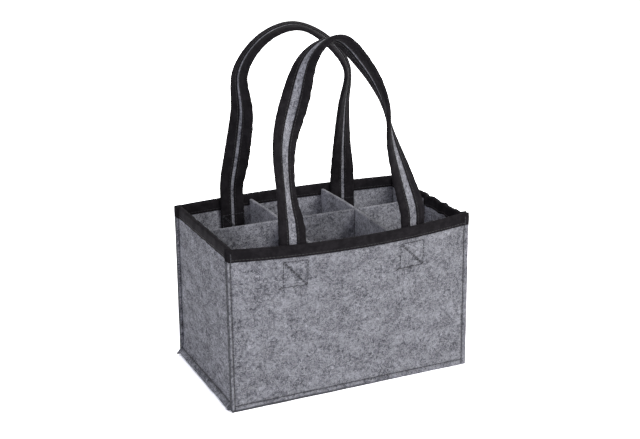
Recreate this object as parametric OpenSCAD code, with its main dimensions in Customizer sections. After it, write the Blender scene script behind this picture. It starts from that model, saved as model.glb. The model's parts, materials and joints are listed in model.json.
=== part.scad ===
// Soft felt carrier with two rows of compartments, a loose divider insert and two carrying handles.
// X runs along the length, Y from front to back and Z up. The origin is under the middle, on the floor.

/* [Bag] */
// Length over the outer faces of the two side panels
bag_w = 235; // [190:1:290]
// Depth over the outer faces of the front and back panels
bag_d = 146; // [120:1:180]
// Height from the floor to the top of the bound rim
bag_h = 155; // [130:1:200]
// Height of the underside of the base above the floor
base_lift = 5; // [3:0.5:8]
// How far the sewn upright seams stand out past the side panels
seam_w = 5; // [3:0.5:8]
// How far the middle of each long rim swells outward
rim_swell = 10.5; // [0:0.5:14]
// Share of that swell where the handles are sewn on
end_share = 0.68; // [0.3:0.02:0.9]

/* [Felt and binding] */
// Thickness of the felt of the walls, the base and the dividers
felt_t = 3; // [2:0.5:4]
// Thickness of the black binding tape
tape_t = 0.7; // [0.4:0.1:1.2]
// How far the folded tape reaches down each face of the rim
rim_fold = 11.5; // [8:0.5:16]

/* [Compartments] */
// How far the top of the divider insert lies below the rim
divider_drop = 5; // [0:1:30]
// Distance between the middles of the two cross dividers
cross_gap = 78; // [60:1:84]
// Play between a divider's end and the binding that it faces
divider_play = 0.5; // [0.3:0.1:2]
// Play round a divider in the slot of the one that it crosses
slot_play = 0.2; // [0.1:0.1:0.5]
// Gap under the insert where it stands on the base
seat_gap = 0.3; // [0.1:0.1:0.6]

/* [Handles] */
// Width of a handle's bound strap
strap_w = 25; // [20:1:30]
// Thickness of the felt strip inside the strap
strap_felt_t = 2.6; // [2:0.2:4]
// Width of the bare felt stripe on the strap's outward face
stripe_out = 7; // [3:0.5:12]
// Width of the bare felt stripe on the strap's inward face
stripe_in = 2.4; // [1:0.2:6]
// Distance between the middles of a handle's two sewn ends
handle_gap = 120; // [112:1:130]
// Length of each strap end that is sewn down inside the wall
sewn_len = 40; // [30:1:60]
// Height of the front handle's crown above its bending line
front_rise = 169.5; // [140:0.5:210]
// Height of the back handle's crown above its bending line
back_rise = 163; // [130:0.5:200]
// How far the front handle's crown leans inward
front_lean = 22; // [10:1:26]
// How far the back handle's crown leans inward
back_lean = 17; // [10:1:24]
// Flat stretch of strap above the bending line, before it starts to twist
flat_root = 8; // [6:1:14]
// Gap between the strap's rounded foot and its sewn end
bend_gap = 0.3; // [0.2:0.1:0.5]

/* [Hidden] */

FRONT = "front";
BACK = "back";
LEFT = "left";
RIGHT = "right";
$fn = 48;

function sign_of(side) = side == FRONT || side == LEFT ? -1 : 1;

felt_grey = [0.46, 0.46, 0.49];
tape_black = [0.07, 0.07, 0.075];

// Half sizes of the bag: outer faces, inner faces and the edge of the upright seams
out_x = bag_w / 2;
in_x = out_x - felt_t;
seam_x = out_x + seam_w;
out_y = bag_d / 2;
in_y = out_y - felt_t;
// Inner face of the flange that each side panel turns against the front and back panels
flange_y = in_y - felt_t;
base_top = base_lift + felt_t;
felt_top = bag_h - tape_t;
rim_low = bag_h - rim_fold;

// Inner faces of the rim's binding, which the insert and the strap ends face
clear_x = in_x - tape_t;
clear_y = in_y - tape_t;

// The insert
divider_x = clear_x - divider_play;
divider_y = clear_y - divider_play;
divider_low = base_top + seat_gap;
divider_top = bag_h - divider_drop;
lap_z = (divider_low + divider_top) / 2;
slot_w = felt_t + 2 * slot_play;

// The strap's section: half width, half thickness, and the same for the felt inside the tape
strap_a = strap_w / 2;
strap_n = strap_felt_t / 2 + tape_t;
core_a = strap_a - tape_t;
core_n = strap_felt_t / 2;

// The long walls lean and swell outward from the base up. Each wall bends at a few stations along X,
// given as [distance, share of the swell], and is flat where a handle's end is sewn on.
sewn_low = bag_h - sewn_len;
end_room = strap_a + 1.5;
swell_x = clear_x - 2;
swell_run = let(a = handle_gap / 2 - end_room, b = handle_gap / 2 + end_room, s = end_share)
    [[-swell_x, 0], [-b, s], [-a, s], [0, 1], [a, s], [b, s], [swell_x, 0]];
function swell(share, z) = rim_swell * share
    * lookup(z, [[0, 0], [base_top, 0], [sewn_low, pow(sewn_low / bag_h, 1.5)], [bag_h, 1]]);

// The line that each handle bends on, level with the strap's middle
bend_y = clear_y - strap_n + swell(end_share, bag_h);
bend_z = bag_h + bend_gap + strap_n;

// How each handle's loop runs from its left end to its right end. Each station is the place between
// the ends (-1 left, 1 right), the share of the rise, and the turn of the strap's width in degrees:
// 90 is flat with the wall and 0 points the width from back to front.
front_run = [[-1.05, 0.234, 119], [-1.03, 0.488, 103], [-0.82, 0.708, 60], [-0.55, 0.919, 10],
             [-0.10, 1.000, -19], [0.34, 0.845, -14], [0.62, 0.651, 9], [0.71, 0.439, 43],
             [0.875, 0.225, 71]];
back_run = [[-0.91, 0.254, 63], [-0.835, 0.508, 37], [-0.87, 0.756, 7], [-0.50, 0.940, -5],
            [0.055, 1.000, -2], [0.61, 0.896, 24], [1.00, 0.713, 34], [0.97, 0.481, 48],
            [0.97, 0.241, 67]];
// Rings of the swept strap between two stations
rings = 6;
// Length of strap that steers the curve where it leaves the flat root
lead_in = 38;

// A point on the smooth curve between b and c, with a and d as its neighbours
function between(a, b, c, d, t) =
    (2 * b + (c - a) * t + (2 * a - 5 * b + 4 * c - d) * t * t + (3 * b - a - 3 * c + d) * t * t * t) / 2;

// The stations of a loop as [sideways, height above the bending line, turn], with a lead at each end
function stations(run, rise) = let(x = handle_gap / 2) concat(
    [[-x, flat_root - lead_in, 90], [-x, flat_root, 90]],
    [for (s = run) [s[0] * x, s[1] * rise, s[2]]],
    [[x, flat_root, 90], [x, flat_root - lead_in, 90]]);

// The same run as closely spaced points
function smoothed(p) = concat(
    [for (i = [1:len(p) - 3]) for (k = [0:rings - 1]) between(p[i - 1], p[i], p[i + 1], p[i + 2], k / rings)],
    [p[len(p) - 2]]);

// A point of the loop in space, leaning inward with its height
function placed(q, side, rise, lean) =
    [q[0], sign_of(side) * (bend_y - lean * (q[1] - flat_root) / (rise - flat_root)), bend_z + q[1]];

// Middle, width direction and face direction of the strap at one point of the loop
function strap_frame(centre, tangent, turn) =
    let(t = tangent / norm(tangent), side = cross(t, [0, -1, 0]), u = side / norm(side), m = cross(u, t),
        w = cos(turn) * m + sin(turn) * u)
    [centre, w, cross(w, t)];

function loop_frames(run, side, rise, lean) =
    let(q = smoothed(stations(run, rise)), c = [for (p = q) placed(p, side, rise, lean)], n = len(q))
    concat(
        [strap_frame([c[0][0], c[0][1], bend_z], [0, 0, 1], 90), strap_frame(c[0], [0, 0, 1], 90)],
        [for (i = [1:n - 2]) strap_frame(c[i], c[i + 1] - c[i - 1], q[i][2])],
        [strap_frame(c[n - 1], [0, 0, -1], 90), strap_frame([c[n - 1][0], c[n - 1][1], bend_z], [0, 0, -1], 90)]);

// Half width of the bare stripe on the face that looks forward and on the one that looks back
function stripe_fore(side) = (side == FRONT ? stripe_out : stripe_in) / 2;
function stripe_aft(side) = (side == FRONT ? stripe_in : stripe_out) / 2;

// Sections of the strap as [across, towards the front]: the felt strip and a tape folded over its edge.
// The felt has points at the tape's edges too, so that both follow the twist alike.
function felt_section(side) = let(f = stripe_fore(side), b = stripe_aft(side))
    [[-core_a, -core_n], [-b, -core_n], [b, -core_n], [core_a, -core_n],
     [core_a, core_n], [f, core_n], [-f, core_n], [-core_a, core_n]];
function outer_tape_section(side) = let(f = stripe_fore(side), b = stripe_aft(side))
    [[-strap_a, -strap_n], [-b, -strap_n], [-b, -core_n], [-core_a, -core_n],
     [-core_a, core_n], [-f, core_n], [-f, strap_n], [-strap_a, strap_n]];
function inner_tape_section(side) = let(s = outer_tape_section(side))
    [for (i = [len(s) - 1:-1:0]) [-s[i][0], s[i][1]]];

// Four-sided pieces that fill an eight-point section of the felt and of a tape
FELT_CAP = [[0, 1, 6, 7], [1, 2, 5, 6], [2, 3, 4, 5]];
TAPE_CAP = [[0, 1, 2, 3], [0, 3, 4, 7], [4, 5, 6, 7]];
WALL_CAP = [[0, 1, 8, 9], [1, 2, 7, 8], [2, 3, 6, 7], [3, 4, 5, 6]];

// Faces of a sweep: each strip between two rings is cut along its shorter diagonal
function sweep_faces(p, n_rings, n_pts, cap) = let(last = (n_rings - 1) * n_pts) concat(
    [for (q = cap) each [[q[2], q[1], q[0]], [q[3], q[2], q[0]]]],
    [for (i = [0:n_rings - 2]) for (j = [0:n_pts - 1])
        let(a = i * n_pts + j, b = i * n_pts + (j + 1) % n_pts, c = a + n_pts, d = b + n_pts)
        each norm(p[a] - p[d]) <= norm(p[b] - p[c]) ? [[a, b, d], [a, d, c]] : [[a, b, c], [b, d, c]]],
    [for (q = cap) each [[q[0], q[1], q[2]] + last * [1, 1, 1], [q[0], q[2], q[3]] + last * [1, 1, 1]]]);

module sweep(frames, section, cap) {
    points = [for (f = frames) for (s = section) f[0] + f[1] * s[0] + f[2] * s[1]];
    polyhedron(points, sweep_faces(points, len(frames), len(section), cap), convexity = 8);
}

// A section in [y, z] carried along X through the stations of a swollen wall
module along_wall(run, section, cap) {
    points = [for (r = run) for (s = section) [r[0], s[0] + swell(r[1], s[1]), s[1]]];
    polyhedron(points, sweep_faces(points, len(run), len(section), cap), convexity = 8);
}

// A box given by its lowest and highest corners
module span(low, high) {
    translate(low) cube(high - low);
}

// The same piece at both ends of X or of Y
module both_x() {
    for (s = [LEFT, RIGHT]) flip_x(s) children();
}
module both_y() {
    children();
    mirror([0, 1, 0]) children();
}
module flip_x(side) {
    mirror([side == LEFT ? 1 : 0, 0, 0]) children();
}
module flip_y(side) {
    mirror([0, side == FRONT ? 1 : 0, 0]) children();
}

// Walls and base

// Front or back wall: one sheet that runs out to the edges of the upright seams
module wall(side) {
    heights = [0, base_top, sewn_low, rim_low, felt_top];
    color(felt_grey) flip_y(side)
        along_wall(concat([[-seam_x, 0]], swell_run, [[seam_x, 0]]),
                   [for (z = heights) [in_y, z], for (i = [len(heights) - 1:-1:0]) [out_y, heights[i]]],
                   WALL_CAP);
}

// Side wall: a sheet with its upright edges turned out behind the front and back walls,
// and its lower edge flared out to the floor
module side_wall(side) {
    color(felt_grey) flip_x(side) {
        rotate([90, 0, 0])
            linear_extrude(2 * flange_y, center = true)
                polygon([[in_x, base_top],
                         [out_x + base_lift - felt_t / sqrt(2), base_top - base_lift - felt_t + felt_t / sqrt(2)],
                         [out_x + base_lift, base_top - base_lift - felt_t + felt_t * sqrt(2)],
                         [out_x, base_top + felt_t * (sqrt(2) - 1)],
                         [out_x, felt_top],
                         [in_x, felt_top]]);
        both_y() span([in_x, flange_y, 0], [seam_x, in_y, felt_top]);
    }
}

// Base: a plate with its long edges turned down inside the front and back walls
// and its short edges flared under the feet of the side walls
module base() {
    color(felt_grey) {
        rotate([90, 0, 0])
            linear_extrude(2 * flange_y, center = true)
                both_x()
                    polygon([[0, base_lift],
                             [in_x - felt_t * (sqrt(2) - 1), base_lift],
                             [out_x + base_lift - felt_t * sqrt(2), 0],
                             [out_x + base_lift - felt_t / sqrt(2), felt_t / sqrt(2)],
                             [in_x, base_top],
                             [0, base_top]]);
        both_y() span([-in_x, flange_y, 0], [in_x, in_y, base_top]);
    }
}

// Rim binding

// Tape folded over the top edge of the front or back wall
module long_rim_tape(side) {
    face = out_y + tape_t;
    color(tape_black) flip_y(side) {
        along_wall(concat([[-clear_x, 0]], swell_run, [[clear_x, 0]]),
                   [[face, bag_h], [face, rim_low], [out_y, rim_low], [out_y, felt_top],
                    [in_y, felt_top], [in_y, rim_low], [clear_y, rim_low], [clear_y, bag_h]],
                   TAPE_CAP);
        both_x() {
            span([clear_x - 1, out_y, rim_low], [seam_x, face, bag_h]);
            span([clear_x - 1, in_y, felt_top], [seam_x, out_y, bag_h]);
        }
    }
}

// Tape folded over the top edge of a side wall and its two turned edges
module short_rim_tape(side) {
    color(tape_black) flip_x(side) {
        span([clear_x, -in_y, rim_low], [in_x, in_y, bag_h]);
        span([in_x, -in_y, felt_top], [out_x, in_y, bag_h]);
        span([out_x, -flange_y, rim_low], [out_x + tape_t, flange_y, bag_h]);
        both_y() {
            span([out_x, flange_y - tape_t, rim_low], [seam_x, flange_y, bag_h]);
            span([out_x, flange_y, felt_top], [seam_x, in_y, bag_h]);
        }
    }
}

// Divider insert

// The divider along the middle, slotted from above where the cross dividers drop in
module long_divider() {
    color(felt_grey)
        difference() {
            span([-divider_x, -felt_t / 2, divider_low], [divider_x, felt_t / 2, divider_top]);
            for (s = [LEFT, RIGHT])
                translate([sign_of(s) * cross_gap / 2, 0, lap_z - slot_play + bag_h / 2])
                    cube([slot_w, 2 * felt_t, bag_h], center = true);
        }
}

// A cross divider, slotted from below to drop over the long one
module cross_divider(side) {
    color(felt_grey)
        translate([sign_of(side) * cross_gap / 2, 0, 0])
            difference() {
                span([-felt_t / 2, -divider_y, divider_low], [felt_t / 2, divider_y, divider_top]);
                translate([0, 0, lap_z + slot_play - bag_h / 2])
                    cube([2 * felt_t, slot_w, bag_h], center = true);
            }
}

// Handles

// Places one leg's section, across from its middle and forward from its face, at a handle's end
module at_leg(side, leg) {
    translate([sign_of(leg) * handle_gap / 2, sign_of(side) * bend_y, 0]) flip_x(leg) rotate(180) children();
}

// Rounded foot of the felt strip, centred on the bending line
module felt_foot() {
    intersection() {
        translate([0, 0, bend_z]) rotate([0, 90, 0]) cylinder(r = core_n, h = 2 * core_a, center = true);
        span([-strap_a, -strap_n, bend_z - strap_n], [strap_a, strap_n, bend_z]);
    }
}

// Rounded foot of the tape on the strap's edge; edge is -1 outside the loop and 1 inside it
module tape_foot(side, edge) {
    difference() {
        intersection() {
            translate([0, 0, bend_z]) rotate([0, 90, 0]) cylinder(r = strap_n, h = strap_w, center = true);
            mirror([edge < 0 ? 1 : 0, 0, 0]) union() {
                span([stripe_fore(side), 0, bend_z - strap_n], [strap_a, strap_n, bend_z]);
                span([stripe_aft(side), -strap_n, bend_z - strap_n], [strap_a, 0, bend_z]);
            }
        }
        translate([0, 0, bend_z]) rotate([0, 90, 0]) cylinder(r = core_n, h = 2 * core_a, center = true);
    }
}

module handle_felt(side, run, rise, lean) {
    color(felt_grey) {
        sweep(loop_frames(run, side, rise, lean), felt_section(side), FELT_CAP);
        for (leg = [LEFT, RIGHT]) at_leg(side, leg) felt_foot();
    }
}

module handle_tape(side, edge, run, rise, lean) {
    color(tape_black) {
        sweep(loop_frames(run, side, rise, lean),
              edge < 0 ? outer_tape_section(side) : inner_tape_section(side), TAPE_CAP);
        for (leg = [LEFT, RIGHT]) at_leg(side, leg) tape_foot(side, edge);
    }
}

// Frames of one sewn-down end, from its lower edge up: it leans outward with the wall
function end_frames(side, leg) =
    [for (z = [sewn_low, bag_h])
        [[sign_of(leg) * handle_gap / 2, sign_of(side) * (clear_y - strap_n + swell(end_share, z)), z],
         [1, 0, 0], [0, -1, 0]]];

// The two sewn-down ends of a handle: the felt strip, then the tapes on its edges
module handle_ends_felt(side) {
    color(felt_grey)
        for (leg = [LEFT, RIGHT]) sweep(end_frames(side, leg), felt_section(side), FELT_CAP);
}

module handle_ends_tape(side) {
    color(tape_black)
        for (leg = [LEFT, RIGHT]) {
            sweep(end_frames(side, leg), outer_tape_section(side), TAPE_CAP);
            sweep(end_frames(side, leg), inner_tape_section(side), TAPE_CAP);
        }
}

wall(FRONT);  // front_panel
wall(BACK);  // back_panel
side_wall(LEFT);  // left_panel
side_wall(RIGHT);  // right_panel
base();  // base_panel
long_rim_tape(FRONT);  // rim_tape_front
long_rim_tape(BACK);  // rim_tape_back
short_rim_tape(LEFT);  // rim_tape_left
short_rim_tape(RIGHT);  // rim_tape_right
long_divider();  // divider_long
cross_divider(LEFT);  // divider_cross_left
cross_divider(RIGHT);  // divider_cross_right
handle_felt(FRONT, front_run, front_rise, front_lean);  // front_handle_felt
handle_tape(FRONT, -1, front_run, front_rise, front_lean);  // front_handle_outer_tape
handle_tape(FRONT, 1, front_run, front_rise, front_lean);  // front_handle_inner_tape
handle_ends_felt(FRONT);  // front_handle_end_felt
handle_ends_tape(FRONT);  // front_handle_end_tape
handle_felt(BACK, back_run, back_rise, back_lean);  // back_handle_felt
handle_tape(BACK, -1, back_run, back_rise, back_lean);  // back_handle_outer_tape
handle_tape(BACK, 1, back_run, back_rise, back_lean);  // back_handle_inner_tape
handle_ends_felt(BACK);  // back_handle_end_felt
handle_ends_tape(BACK);  // back_handle_end_tape
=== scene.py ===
"""Looks of a felt carrier with six cells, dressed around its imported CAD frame.

Every felt and tape piece is first cut flat, as its maker cuts it, and then folded into place. A Cut
is the flat piece, and a Form says where each of its points goes in the finished bag. Stitches are
laid out on the flat piece too, so that they follow each fold and bulge.

A flat point is (u, v, w): u along the piece, v across it and w through its thickness. Lengths are in
metres, and a name that ends in _mm, _deg or _px says otherwise. X runs along the bag, Y from front to
back and Z up.
"""

import json
import logging
import math
from abc import ABC, abstractmethod
from dataclasses import dataclass, field
from enum import Enum
from typing import Callable, NamedTuple, Sequence

import bmesh
import bpy
import numpy as np
from mathutils import Matrix, Vector

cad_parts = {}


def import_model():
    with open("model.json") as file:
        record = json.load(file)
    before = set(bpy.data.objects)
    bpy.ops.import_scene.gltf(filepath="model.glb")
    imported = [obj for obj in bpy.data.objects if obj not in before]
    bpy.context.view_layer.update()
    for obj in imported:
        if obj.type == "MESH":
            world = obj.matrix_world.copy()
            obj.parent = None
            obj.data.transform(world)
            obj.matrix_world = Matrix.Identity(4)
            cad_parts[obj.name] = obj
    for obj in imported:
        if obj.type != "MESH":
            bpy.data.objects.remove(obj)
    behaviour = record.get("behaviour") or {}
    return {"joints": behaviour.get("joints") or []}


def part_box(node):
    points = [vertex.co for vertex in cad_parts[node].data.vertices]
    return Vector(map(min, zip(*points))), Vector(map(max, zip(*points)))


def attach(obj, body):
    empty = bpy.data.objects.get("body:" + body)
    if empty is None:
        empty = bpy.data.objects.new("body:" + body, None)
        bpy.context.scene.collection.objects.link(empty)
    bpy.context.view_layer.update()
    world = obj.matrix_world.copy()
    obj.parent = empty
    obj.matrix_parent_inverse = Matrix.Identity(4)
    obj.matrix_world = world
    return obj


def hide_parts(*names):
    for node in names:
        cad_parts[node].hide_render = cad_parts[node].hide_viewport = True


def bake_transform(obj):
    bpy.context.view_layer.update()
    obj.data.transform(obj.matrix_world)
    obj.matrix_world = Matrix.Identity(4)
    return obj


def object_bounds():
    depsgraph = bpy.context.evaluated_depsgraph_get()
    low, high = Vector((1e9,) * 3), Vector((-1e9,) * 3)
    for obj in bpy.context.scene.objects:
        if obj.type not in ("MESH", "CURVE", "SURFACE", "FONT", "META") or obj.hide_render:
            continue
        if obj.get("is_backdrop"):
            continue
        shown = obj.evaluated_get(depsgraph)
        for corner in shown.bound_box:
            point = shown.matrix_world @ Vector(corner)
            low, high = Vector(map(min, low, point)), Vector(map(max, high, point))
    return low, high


log = logging.getLogger("felt_carrier")

MM = 0.001
FLAT = "flat"
# The attribute that holds the painted shade which darkens the felt's colour
PAINTED_SHADE = "worn_and_painted_shade"
QUARTER = math.pi / 2
AGAINST_WALL_DEG = 90.0

Points = np.ndarray
Colour = tuple[float, float, float, float]


class Face(Enum):
    """One of the two long walls; its value is the wall's sign on Y."""

    FRONT = -1
    BACK = 1


class End(Enum):
    """One of the two short walls; its value is the wall's sign on X."""

    LEFT = -1
    RIGHT = 1


class Edge(Enum):
    """One edge of a strap; its value is the edge's sign across the strap."""

    OUTSIDE_LOOP = -1
    INSIDE_LOOP = 1


def eased(x: np.ndarray, low: float, high: float) -> np.ndarray:
    """Rises smoothly from 0 at low to 1 at high, one number for each value of x."""
    t = np.clip((x - low) / (high - low), 0.0, 1.0)
    return t * t * (3.0 - 2.0 * t)


def ruled(stops: Sequence[float], fine: float, coarse: float, reach: float) -> np.ndarray:
    """Grid lines that pass through the stops, close together near them and wider apart elsewhere.

    Args:
        stops: The places that need a line, in rising order.
        fine: The distance between lines near a stop.
        coarse: The most that lines lie apart elsewhere.
        reach: How far from a stop its fine lines go.

    Returns:
        The lines' places in rising order.
    """
    lines = [stops[0]]
    for low, high in zip(stops, stops[1:]):
        gap = high - low
        near = min(reach, gap / 2)
        steps = max(1, round(near / fine))
        edge = [near * k / steps for k in range(1, steps + 1)]
        middle = gap - 2 * near
        parts = max(1, math.ceil(middle / coarse)) if middle > fine / 2 else 0
        between = [near + middle * k / parts for k in range(1, parts + 1)] if parts else []
        lines += [low + x for x in edge + between] + [high - x for x in reversed(edge[:-1])] + [high]
    kept = [lines[0]]
    for x in lines[1:]:
        if x - kept[-1] > fine / 10:
            kept.append(x)
    return np.array(kept)


# The shape that the soft bag takes


@dataclass(frozen=True)
class Sizes:
    """The bag's real sizes, read from the CAD frame, and the closer trim of its left seams.

    Attributes:
        seam_x: Half length of a long wall, seam margins included.
        in_x: Inner face of a side wall.
        in_y: Inner face of a long wall.
        felt: Thickness of the felt.
        base_lift: Height of the base's underside.
        base_top: Height of its upper face.
        rim_top: Top of the folded rim tape.
        rim_low: Lower edge of the rim tape.
        tape: Thickness of the rim tape.
        divider_x: Half length of the long divider.
        divider_y: Half length of a cross divider.
        divider_low: Lower edge of the dividers.
        divider_top: Upper edge of the dividers.
        cross_x: Middle of the right cross divider.
        sewn_low: Lower ends of the straps.
        left_trim: How much closer the left seam margins are trimmed.
    """

    seam_x: float
    in_x: float
    in_y: float
    felt: float
    base_lift: float
    base_top: float
    rim_top: float
    rim_low: float
    tape: float
    divider_x: float
    divider_y: float
    divider_low: float
    divider_top: float
    cross_x: float
    sewn_low: float
    left_trim: float = 2.0 * MM

    @classmethod
    def from_frame(cls) -> "Sizes":
        """Reads the sizes from the boxes of the CAD nodes.

        Returns:
            The sizes.
        """
        wall, side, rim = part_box("front_panel"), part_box("right_panel"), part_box("rim_tape_right")
        base, long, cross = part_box("base_panel"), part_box("divider_long"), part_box("divider_cross_right")
        felt = long[1].y - long[0].y
        return cls(
            seam_x=wall[1].x,
            in_x=side[0].x,
            in_y=side[1].y,
            felt=felt,
            base_lift=base[1].z - felt,
            base_top=base[1].z,
            rim_top=rim[1].z,
            rim_low=rim[0].z,
            tape=side[0].x - rim[0].x,
            divider_x=long[1].x,
            divider_y=cross[1].y,
            divider_low=long[0].z,
            divider_top=long[1].z,
            cross_x=(cross[0].x + cross[1].x) / 2,
            sewn_low=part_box("front_handle_end_felt")[0].z,
        )

    @property
    def out_x(self) -> float:
        """Outer face of a side wall, which is also the line of the upright seams."""
        return self.in_x + self.felt

    def reach_x(self, end: End) -> float:
        """How far out the seam margins of an end reach; the left ones are trimmed closer."""
        return self.seam_x - (self.left_trim if end is End.LEFT else 0)


@dataclass(frozen=True)
class Ripple:
    """An uneven ripple along an edge: a wave with a second, shorter one on top of it.

    Attributes:
        height: Height of the first wave.
        length: Length of the first wave.
        start: Where the first wave starts, in radians.
        second_share: Height of the second wave, as a share of the first.
        second_ratio: How many times shorter it is.
        second_start: Where it starts, in radians.
    """

    height: float
    length: float
    start: float
    second_share: float
    second_ratio: float
    second_start: float

    def at(self, along: np.ndarray) -> np.ndarray:
        """The ripple at places along the edge.

        Args:
            along: The places.

        Returns:
            One number for each place, 1 being the top of the first wave.
        """
        phase = 2 * math.pi * along / self.length
        second = np.sin(self.second_ratio * phase + self.second_start)
        return np.sin(phase + self.start) + self.second_share * second


@dataclass(frozen=True)
class Slump:
    """How the soft bag gives way: its long walls swell and dip, and its short rims ripple.

    Attributes:
        sizes: The straight bag's sizes.
        swell: How far the middle of a long rim swells, counted from its ends.
        pull: How far the ends of a long rim are pulled in.
        dip: How far the middle of a long rim sinks.
        power: How fast the give grows with height.
        past: Where the give stops growing, as a share of the distance to a long wall.
        fade: Height over the rim at which a strap no longer sinks with it.
        ripple: The ripple of the short rims.
        ripple_room: How far from the corners it is full.
        ripple_from: Where it starts, as a share of the bag's height.
        ripple_lift: How much of it goes upward.
        ripple_reach: How far inside the right wall it starts.
        left_from: How far left of the middle the left wall's share of it starts.
        left_share: Its share at the left rim, where it runs the other way.
        corner_room: How far the long walls stand out at a corner of the rim.
        corner_drop: How far under the rim tape that starts.
    """

    sizes: Sizes
    swell: float = 12.5 * MM
    pull: float = 2.0 * MM
    dip: float = 1.6 * MM
    power: float = 1.5
    past: float = 1.1
    fade: float = 90 * MM
    ripple: Ripple = Ripple(height=0.6 * MM, length=21 * MM, start=0.6, second_share=0.6,
                            second_ratio=1.73, second_start=2.1)
    ripple_room: float = 20 * MM
    ripple_from: float = 0.72
    ripple_lift: float = 0.5
    ripple_reach: float = 6 * MM
    left_from: float = 100 * MM
    left_share: float = 0.3
    corner_room: float = 0.75 * MM
    corner_drop: float = 6 * MM

    def bow(self, x: np.ndarray, z: np.ndarray) -> np.ndarray:
        """How far a long wall stands out of its plane; its two ends are pulled in a little."""
        return (self.swell * self.middle(x) - self.pull) * self.height(z)

    def middle(self, x: np.ndarray) -> np.ndarray:
        """Share of the give along a long wall: 1 in its middle and 0 at its ends."""
        return np.clip(1 - (x / self.sizes.out_x) ** 2, 0, None)

    def height(self, z: np.ndarray) -> np.ndarray:
        """Share of the give at a height: 0 on the floor and 1 at the rim."""
        return np.clip(z / self.sizes.rim_top, 0, 1) ** self.power

    def settle(self, p: Points) -> Points:
        """Moves points of the straight bag to where the soft bag has them.

        Args:
            p: Points of the straight bag.

        Returns:
            The same points after the walls have given way.
        """
        x, y, z = p.T
        s = self.sizes
        moved = self.sunk(p)
        moved[:, 1] += np.clip(y / s.in_y, -self.past, self.past) * self.bow(x, z)
        right = eased(x, s.in_x - self.ripple_reach, s.in_x)
        left = self.left_share * eased(-x, self.left_from, s.in_x)
        room = eased(s.in_y - np.abs(y), 0, self.ripple_room)
        up = eased(z, self.ripple_from * s.rim_top, s.rim_top)
        wave = self.ripple.height * self.ripple.at(y) * room * (right - left) * up
        moved[:, 0] += wave
        moved[:, 2] += self.ripple_lift * wave
        return moved

    def sunk(self, p: Points) -> Points:
        """Lets the middle of the long rims, and what hangs on it, sink a little.

        Args:
            p: Points of the straight bag.

        Returns:
            The same points after they have sunk.
        """
        x, y, z = p.T
        s = self.sizes
        below = 1 - eased(z, s.rim_top, s.rim_top + self.fade)
        share = np.clip(np.abs(y) / s.in_y, 0, self.past)
        moved = p.copy()
        moved[:, 2] -= self.dip * share * self.middle(x) * self.height(z) * below
        return moved

    def room(self, near_corner: np.ndarray, z: np.ndarray) -> np.ndarray:
        """How far a long wall stands out near the rim's corners, where two bound edges meet."""
        rim = self.sizes.rim_low
        return self.corner_room * near_corner * eased(z, rim - self.corner_drop, rim)


# Forms: where the points of a flat piece go


class Form(ABC):
    """Says where each point of a flat piece goes in the finished bag."""

    @abstractmethod
    def place(self, flat: Points) -> Points:
        """Moves flat points (u, v, w) to their places in the bag.

        Args:
            flat: Points of the flat piece.

        Returns:
            Their places in the frame.
        """


@dataclass(frozen=True)
class LongWall(Form):
    """Front or back wall: u runs along X, v is the height and w goes outward.

    Attributes:
        sizes: The bag's sizes.
        slump: How the soft bag gives way.
        face: Which long wall it is.
        corner_reach: How far before and after the side wall's inner face the corner's room grows.
    """

    sizes: Sizes
    slump: Slump
    face: Face
    corner_reach: float = 2 * MM

    def place(self, flat: Points) -> Points:
        """Stands the wall up, with room at its two upper corners.

        Args:
            flat: Points of the flat wall.

        Returns:
            Their places in the frame.
        """
        u, v, w = flat.T
        in_x = self.sizes.in_x
        near_corner = eased(np.abs(u), in_x - self.corner_reach, in_x + self.corner_reach)
        y = self.face.value * (self.sizes.in_y + w + self.slump.room(near_corner, v))
        return self.slump.settle(np.column_stack((u, y, v)))


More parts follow.
